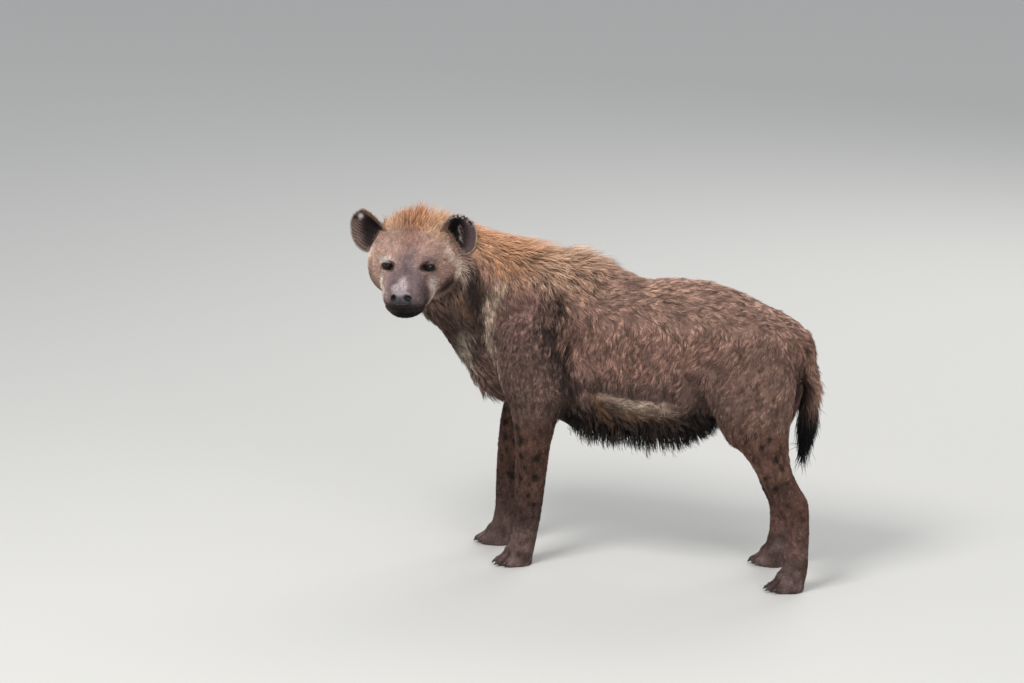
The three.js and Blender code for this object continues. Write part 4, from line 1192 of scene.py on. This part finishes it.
def unwrap(place):
    """Each point's place on a flat cut of the skin: every body part is unrolled along its own length."""
    names = list(CHARTS)
    owner = np.argmax(np.array([place["share"][k] for k in names]), axis=0)
    low = place["share"]["paw"] > 0.5
    owner = np.where(low, 3 + nearest_leg(place), owner)
    uv = np.zeros((len(owner), 2))
    for k, name in enumerate(names):
        x, y, wide, tall = CHARTS[name]
        here = owner == k
        along = place[name]["t"][here] * 0.92
        if name in LEGS:
            along = along + 0.08 * (1 - smooth(place["p"][here, 2], 0, 60))
        uv[here] = np.stack([x + wide * (place[name]["turn"][here] / (2 * np.pi) + 0.5), y + tall * along], 1)
    return uv


# Where a tuft has its rings of three corners, as shares of its length.
RING_3 = np.array([0.0, 0.42, 0.78])
RING_2 = np.array([0.0, 0.55])


def tuft_mesh(name, tufts, ring):
    """Closed three-sided tufts that taper to a point, joined in one mesh."""
    count, rings = len(tufts["root"]), len(ring)
    per = 3 * rings + 1
    n, lie = tufts["normal"], tufts["lie"]
    length, width = tufts["length"][:, None], tufts["width"][:, None]
    rise, curl, wave = (tufts[key][:, None] for key in ("rise", "curl", "wave"))
    side = unit(np.cross(n, lie))
    lean = unit(lie + n * rise)
    up = unit(n - lean * (n * lean).sum(1)[:, None])
    co = np.empty((count, per, 3))
    tone = np.empty((count, per, 3))
    uv = np.empty((count, per, 2))
    for k, s in enumerate([*ring, 1.0]):
        bent = lie * s + n * rise * (s - 0.55 * s * s) + side * (curl * s * s + wave * s * (1 - s))
        middle = tufts["root"] + length * bent
        middle = middle + tufts["pull"] * s**1.5
        if k == 0:
            middle = middle - n * np.minimum(2.4, 0.12 * length + 0.6)
        taper = (1 - s) ** 0.7 * (0.75 + 0.5 * s)
        # Painted shade along each tuft: dark at the root, light at the tip, as the coat shades itself.
        colour = tufts["colour"] * (0.34 + 1.12 * s**0.8)
        if k == rings:
            co[:, -1], tone[:, -1], uv[:, -1] = middle, colour, tufts["uv"] + (0, 0.0015)
            continue
        corners = [(-0.5, -0.1), (0.5, -0.1), (0, 0.42)]
        for j, (across, height) in enumerate(corners):
            co[:, 3 * k + j] = middle + (side * across + up * height) * width * taper
            tone[:, 3 * k + j] = colour
            uv[:, 3 * k + j] = tufts["uv"] + (0.003 * across, 0.003 * (s - 0.5))
    co[:, :, 2] = np.maximum(co[:, :, 2], 0.3)
    faces = [[0, 2, 1]]
    for k in range(rings - 1):
        for j in range(3):
            i = (j + 1) % 3
            faces.append([3 * k + j, 3 * k + i, 3 * k + 3 + i, 3 * k + 3 + j])
    for j in range(3):
        faces.append([3 * rings - 3 + j, 3 * rings - 3 + (j + 1) % 3, per - 1])
    flat = np.concatenate(faces)
    sizes = np.array([len(f) for f in faces])
    mesh = bpy.data.meshes.new(name)
    mesh.vertices.add(count * per)
    mesh.vertices.foreach_set("co", (co.reshape(-1, 3) * MM + SHIFT).astype(np.float32).ravel())
    corner = (np.arange(count)[:, None] * per + flat).ravel()
    mesh.loops.add(len(corner))
    mesh.loops.foreach_set("vertex_index", corner.astype(np.int32))
    starts = (np.arange(count)[:, None] * len(flat) + np.concatenate([[0], np.cumsum(sizes)[:-1]])).ravel()
    mesh.polygons.add(count * len(faces))
    mesh.polygons.foreach_set("loop_start", starts.astype(np.int32))
    mesh.update(calc_edges=True)
    chart = uv.reshape(-1, 2)[corner].astype(np.float32).ravel()
    mesh.uv_layers.new(name="OFBake").data.foreach_set("uv", chart)
    obj = bpy.data.objects.new(name, mesh)
    bpy.context.scene.collection.objects.link(obj)
    attribute(obj, "coat", tone.reshape(-1, 3))
    shade(obj)
    return obj


def in_ear(p):
    """Whether a point is in the hollow of an ear or close in front of it."""
    found = np.zeros(len(p), bool)
    for side in (1, -1):
        local = ear_local(side, p)
        out, _ = ear_round(side, local[:, 1], local[:, 2])
        deep = ear_depth(out) - 9
        found |= (out < 1.04) & (local[:, 0] > deep) & (local[:, 0] < 26) & (outwards(local) > 7)
    return found


p = points_of(skin)
n = normals_of(skin)
place = survey(p)
plan = coat_plan(place)
# The skin under the coat takes its colours darkened, as painted shade under the tufts.
attribute(skin, "coat", markings(place) * 0.55)
root, normal = roots(skin, tuft_density(place, plan, n))
place = survey(root)
plan = coat_plan(place)
lie = lie_of(place, normal)
middle = root + (lie + normal * 0.5 * plan["rise"][:, None]) * 0.5 * plan["length"][:, None]
end = root + (lie + normal * 0.45 * plan["rise"][:, None]) * plan["length"][:, None]
tested = (root, middle, end, (middle + end) / 2, (root + middle) / 2)
free = ~np.any([in_ear(q) for q in tested], axis=0)
root, normal = root[free], normal[free]
place = survey(root)
plan = coat_plan(place)
lie = lie[free]
count = len(root)
vary = lambda share: 1 + share * (2 * rng.random(count) - 1)
even = smooth(place["uvw"][:, 2], 44, 90) * place["share"]["head"]
length = plan["length"] * vary(0.3 - 0.2 * even) * (1 + 0.15 * (1 - even) * noise(root, 30, 40))

hanging = fringe_share(place)
tip = root + lie * (length * (1 - 0.7 * hanging))[:, None] + normal * (plan["rise"] * length)[:, None] * 0.45
picked = np.nonzero(rng.random(count) < 0.17 - 0.06 * hanging)[0]
tree = KDTree(len(picked))
for i, k in enumerate(picked):
    tree.insert(root[k], i)
tree.balance()
clump_of = picked[[tree.find(r)[1] for r in root]]
pull = (tip[clump_of] - tip) * (plan["clump"] * vary(0.25))[:, None]
far = np.linalg.norm(pull, axis=1)
pull *= np.minimum(1, 0.5 * length / np.maximum(far, 1e-6))[:, None]
bend = rng.normal(size=count)[clump_of] * np.clip(plan["clump"], 0, 1)
contrast = 0.56 * (0.35 + plan["clump"]) * (1 + 0.5 * matted(root))
shade_of = 1 + contrast * (2 * rng.random(count)[clump_of] - 1) + 0.13 * rng.normal(size=count)
tufts = {"root": root, "normal": normal, "lie": lie * (1 - 0.7 * hanging)[:, None], "length": length,
         "width": plan["width"] * vary(0.25), "rise": plan["rise"] * vary(0.35),
         "curl": 0.12 * rng.normal(size=count) + 0.14 * bend,
         "wave": 0.9 * bend, "pull": pull,
         "colour": markings(place) * np.clip(shade_of, 0.36, 1.7)[:, None], "uv": unwrap(place)}

share = place["share"]
AREAS = ["back", "flank_left", "flank_right", "belly", "neck", "head", "forelegs", "hindlegs", "tail"]
a, t, y = place["a"], place["spine"]["t"], root[:, 1]
area = np.where(y < 0, 1, 2)
area = np.where(a < 0.7, 0, area)
area = np.where(a > 2.25, 3, area)
area = np.where(t > 0.72, 4, area)
area = np.where(share["head"] > 0.5, 5, area)
area = np.where((share["head"] > 0.5) & (plan["length"] > 26), 4, area)
for leg, k in (("foreleg_left", 6), ("foreleg_right", 6), ("hindleg_left", 7), ("hindleg_right", 7)):
    area = np.where(share[leg] + share["paw"] * (nearest_leg(place) == list(LEGS).index(leg)) > 0.5, k, area)
area = np.where(share["tail"] > 0.5, 8, area)
# The most triangles in one piece of the coat. The tail's long tufts have a ring more than the others.
LARGEST = 190000
coat = []
for k, name in enumerate(AREAS):
    mine = np.nonzero(area == k)[0]
    ring, faces_each = (RING_3, 16) if name == "tail" else (RING_2, 10)
    pieces = max(1, math.ceil(len(mine) * faces_each / LARGEST))
    mine = mine[np.argsort(root[mine, 0], kind="stable")]
    for i, some in enumerate(np.array_split(mine, pieces)):
        piece = tuft_mesh(f"coat_{name}_{i + 1}", {key: value[some] for key, value in tufts.items()}, ring)
        coat.append((piece, name))
    print("coat", name, len(mine), "tufts", pieces, "pieces", len(mine) * faces_each, "triangles")


def ear_coat():
    """Short hair on the back and the rim of the ears, a fringe over their front edge, down inside."""
    made = {key: [] for key in tufts}
    for side, obj in ((1, ears["ear_left"]), (-1, ears["ear_right"])):
        axes = ear_axes(side)
        p, n = points_of(obj), normals_of(obj) @ axes * (1, side, 1)
        painted = np.empty(len(p) * 4, np.float32)
        obj.data.attributes["coat"].data.foreach_get("color", painted)
        nearest = KDTree(len(p))
        for i, spot in enumerate(p):
            nearest.insert(spot, i)
        nearest.balance()
        local = ear_local(side, p)
        out, _ = ear_round(side, local[:, 1], local[:, 2])
        front = smooth(n[:, 0], -0.2, 0.2)
        edge = front * (1 - smooth(outwards(local), 3, 10)) * (out < 1)
        rim = smooth(out, 0.95, 0.99) * (outwards(local) > 6)
        per_area = 0.17 * (1 - front) + 0.3 * edge + 0.26 * rim + 0.04 * front
        spot, normal = roots(obj, per_area * (out > 0.12))
        local = ear_local(side, spot)
        out, _ = ear_round(side, local[:, 1], local[:, 2])
        toward = normal @ axes[:, 0]
        edge = (toward > 0) & (outwards(local) < 10)
        rim = out > 0.95
        flow = np.stack([0 * out, local[:, 1] - EAR_HOLLOW[0], local[:, 2] - EAR_HOLLOW[1] + 14], 1)
        flow = np.where(edge[:, None], (0.35, 1, 0.4), flow / np.linalg.norm(flow, axis=1)[:, None])
        flow = (flow * (1, side, 1)) @ axes.T
        flow = unit(flow - normal * (flow * normal).sum(1)[:, None] * 0.8)
        many = len(spot)
        length = np.where(edge, 10, np.where(rim, 4, 7)) * (0.7 + 0.6 * rng.random(many))
        at = np.array([nearest.find(q)[1] for q in spot])
        colour = painted.reshape(-1, 4)[at, :3] * 1.15
        colour = np.where(edge[:, None], linear("#9a7a66"), colour)
        colour = np.where((rim & (colour.mean(1) > 0.06))[:, None], linear("#b09a88"), colour)
        tone = 0.75 + 0.5 * rng.random(many)
        values = {"root": spot, "normal": normal, "lie": flow, "length": length,
                  "width": 0.7 + 0.4 * rng.random(many), "wave": 0 * out, "rise": np.where(rim, 0.1, 0.3),
                  "curl": 0.2 * rng.normal(size=many), "pull": 0 * spot,
                  "colour": colour * tone[:, None], "uv": unwrap(survey(spot))}
        for key, value in values.items():
            made[key].append(value)
    return {key: np.concatenate(value) for key, value in made.items()}


ear_tufts = ear_coat()
coat.append((tuft_mesh("coat_ears_1", ear_tufts, RING_2), "ears"))
print("coat ears", len(ear_tufts["root"]))
print("skin", sum(len(f.vertices) - 2 for f in skin.data.polygons), "triangles")


# Materials

def material(name, **settings):
    """A named material with its Principled shader's settings."""
    made = bpy.data.materials.new(name)
    made.use_nodes = True
    shader = made.node_tree.nodes["Principled BSDF"]
    for key, value in settings.items():
        shader.inputs[key.replace("_", " ")].default_value = value
    return made, shader


def node(made, kind, links=None, **settings):
    """Adds a node with its settings, and links its inputs from other nodes' outputs."""
    new = made.node_tree.nodes.new("ShaderNode" + kind)
    for key, value in settings.items():
        if hasattr(new, key):
            setattr(new, key, value)
        else:
            new.inputs[key.replace("_", " ")].default_value = value
    for key, (other, output) in (links or {}).items():
        made.node_tree.links.new(other.outputs[output], new.inputs[key])
    return new


def link(made, other, output, shader, key):
    made.node_tree.links.new(other.outputs[output], shader.inputs[key])


def rgba(hexes):
    return (*linear(hexes), 1)


# Three materials take the coat's colour at each point and break it up with a fine pattern. Each row has
# the roughness, gloss and sheen, the pattern's size in millimetres, its detail, the least and the most that
# it leaves of the colour, and the strength and the depth of its bump.
COATED = {
    # Underfur: the dense short hair under the tufts, matt, with a fine uneven bump.
    "underfur": (0.85, 0.12, 0, 4, 4.0, 0.72, 1.15, 0.6, 1.2),
    # Guard hair: coarse hair in flat tufts, a little glossy where it is wet.
    "guard hair": (0.62, 0.16, 0.03, 3, 2.0, 0.84, 1.16, 0, 0),
    # Ear skin: short dark down inside, with painted shade deep in the hollow, worn to bare skin towards the
    # rim.
    "ear skin": (0.8, 0.16, 0, 4, 4.0, 0.7, 1.25, 0.6, 0.8)}
coated = {}
for name, (rough, gloss, sheen, grain, detail, least, most, strength, depth) in COATED.items():
    made, shader = material(name, Roughness=rough, Specular_IOR_Level=gloss, Sheen_Weight=sheen)
    coated[name] = made
    colour = node(made, "Attribute", attribute_name="coat")
    spots = node(made, "TexCoord")
    fine = node(made, "TexNoise", {"Vector": (spots, "Object")}, Scale=1 / (grain * MM), Detail=detail)
    shadow = node(made, "MapRange", {"Value": (fine, "Fac")}, From_Min=0.3, From_Max=0.7, To_Min=least,
                  To_Max=most)
    mixed = node(made, "VectorMath", {0: (colour, "Color")}, operation="SCALE")
    link(made, shadow, "Result", mixed, "Scale")
    link(made, mixed, "Vector", shader, "Base Color")
    if strength:
        bump = node(made, "Bump", {"Height": (fine, "Fac")}, Strength=strength, Distance=depth * MM)
        link(made, bump, "Normal", shader, "Normal")

# Wet eye: near-black pupil, dark brown iris, dark rim of the white, under a clear wet cornea.
wet_eye, shader = material("wet eye", Roughness=0.16, IOR=1.38, Coat_Weight=0.25, Coat_Roughness=0.08)
gaze = node(wet_eye, "Attribute", attribute_name="gaze")
ramp = node(wet_eye, "ValToRGB", {"Fac": (gaze, "Fac")})
stops = ramp.color_ramp.elements
stops[0].position, stops[0].color = 0.0, rgba("#050404")
stops[1].position, stops[1].color = 0.2, rgba("#060504")
for place_at, hexes in [(0.23, "#2a1a10"), (0.36, "#1d120c"), (0.42, "#0c0807"), (0.6, "#2b201c")]:
    stop = stops.new(place_at)
    stop.color = rgba(hexes)
link(wet_eye, ramp, "Color", shader, "Base Color")

# Eyelid skin: bare, dark and slightly moist.
lid_skin, shader = material("eyelid skin", Roughness=0.6, Specular_IOR_Level=0.3, Base_Color=rgba("#1a1413"))
spots = node(lid_skin, "TexCoord")
fine = node(lid_skin, "TexNoise", {"Vector": (spots, "Object")}, Scale=1 / (1.5 * MM), Detail=3.0)
bump = node(lid_skin, "Bump", {"Height": (fine, "Fac")}, Strength=0.4, Distance=0.4 * MM)
link(lid_skin, bump, "Normal", shader, "Normal")

# Nose leather: bare pebbled skin, grey above; painted shade darkens it towards the underside and nearly to
# black in the nostrils.
leather, shader = material("nose leather", Roughness=0.52)
hollow = node(leather, "Attribute", attribute_name="hollow")
rise = node(leather, "Attribute", attribute_name="rise")
ramp = node(leather, "ValToRGB", {"Fac": (rise, "Fac")})
stops = ramp.color_ramp.elements
stops[0].position, stops[0].color = 0.2, rgba("#1d1819")
stops[1].position, stops[1].color = 0.9, rgba("#85777b")
stops.new(0.55).color = rgba("#463d40")
# A mix of colours has them at the inputs 6 and 7, and its result at the output 2.
# Painted shade: near black inside the nostrils.
inside = node(leather, "Mix", {0: (hollow, "Fac"), 6: (ramp, "Color")}, data_type="RGBA")
inside.inputs[7].default_value = rgba("#080606")
link(leather, inside, 2, shader, "Base Color")
spots = node(leather, "TexCoord")
pebble = node(leather, "TexVoronoi", {"Vector": (spots, "Object")}, Scale=1 / (1.8 * MM))
bump = node(leather, "Bump", {"Height": (pebble, "Distance")}, Strength=0.5, Distance=0.5 * MM)
link(leather, bump, "Normal", shader, "Normal")

# Horn: worn dull claws, dark grey-brown with mud.
horn, shader = material("claw horn", Roughness=0.65)
spots = node(horn, "TexCoord")
fine = node(horn, "TexNoise", {"Vector": (spots, "Object")}, Scale=1 / (6 * MM), Detail=4.0)
ramp = node(horn, "ValToRGB", {"Fac": (fine, "Fac")})
stops = ramp.color_ramp.elements
stops[0].position, stops[0].color = 0.35, rgba("#1f1815")
stops[1].position, stops[1].color = 0.7, rgba("#4d4039")
link(horn, ramp, "Color", shader, "Base Color")


def finish_piece(obj, made, replaced=()):
    obj.data.materials.clear()
    obj.data.materials.append(made)
    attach(obj, "root")
    if replaced:
        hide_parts(*replaced)


finish_piece(skin, coated["underfur"], ["torso", "neck", "head", "lower_jaw", "tail",
                                      *LEGS, *(leg.replace("leg", "paw") for leg in LEGS)])
finish_piece(eyes, wet_eye, ["eye_left", "eye_right"])
finish_piece(lids, lid_skin)
finish_piece(pad, leather, ["nose"])
finish_piece(claws, horn)
for name, obj in ears.items():
    obj.name = name + "_cup"
    finish_piece(obj, coated["ear skin"], [name])
for piece, name in coat:
    finish_piece(piece, coated["guard hair"])


# Floor, light and camera

bpy.ops.object.select_all(action="DESELECT")
bpy.ops.mesh.primitive_plane_add(size=80)
floor = bpy.context.object
floor.name = "floor"
ground, _ = material("pale matt floor", Roughness=0.95, Base_Color=rgba("#c4c1bb"))
floor.data.materials.append(ground)

world = bpy.data.worlds.new("soft sky")
world.use_nodes = True
world.node_tree.nodes["Background"].inputs["Color"].default_value = rgba("#e6ecf4")
world.node_tree.nodes["Background"].inputs["Strength"].default_value = 0.78
bpy.context.scene.world = world
bpy.context.scene.view_settings.view_transform = "Standard"


def softbox(name, at, aim, size, power):
    light = bpy.data.lights.new(name, "AREA")
    light.size = size
    light.energy = power
    obj = bpy.data.objects.new(name, light)
    bpy.context.scene.collection.objects.link(obj)
    obj.location = at
    obj.rotation_mode = "QUATERNION"
    obj.rotation_quaternion = (Vector(aim) - Vector(at)).to_track_quat("-Z", "Y")


MIDDLE = (0, 0, 0.5)
softbox("key", (-1.2, -3.0, 4.6), MIDDLE, 1.8, 205)
softbox("fill", (4.0, -3.4, 2.4), MIDDLE, 3.0, 95)
softbox("back", (1.0, 4.0, 3.5), MIDDLE, 3.0, 90)

# The camera: its lens and sensor in millimetres, and where it looks and stands in metres.
LENS, SENSOR = 125, 36
AIM = np.array([-0.3364, 0, 0.5646]) + SHIFT
EYE_POINT = np.array([2.4221, -8.4898, 2.7903]) + SHIFT
camera = bpy.data.objects.new("camera", bpy.data.cameras.new("camera"))
bpy.context.scene.collection.objects.link(camera)
camera.data.lens, camera.data.sensor_width, camera.data.clip_end = LENS, SENSOR, 200
camera.location = EYE_POINT
camera.rotation_mode = "QUATERNION"
camera.rotation_quaternion = Vector(AIM - EYE_POINT).to_track_quat("-Z", "Y")
bpy.context.scene.camera = camera
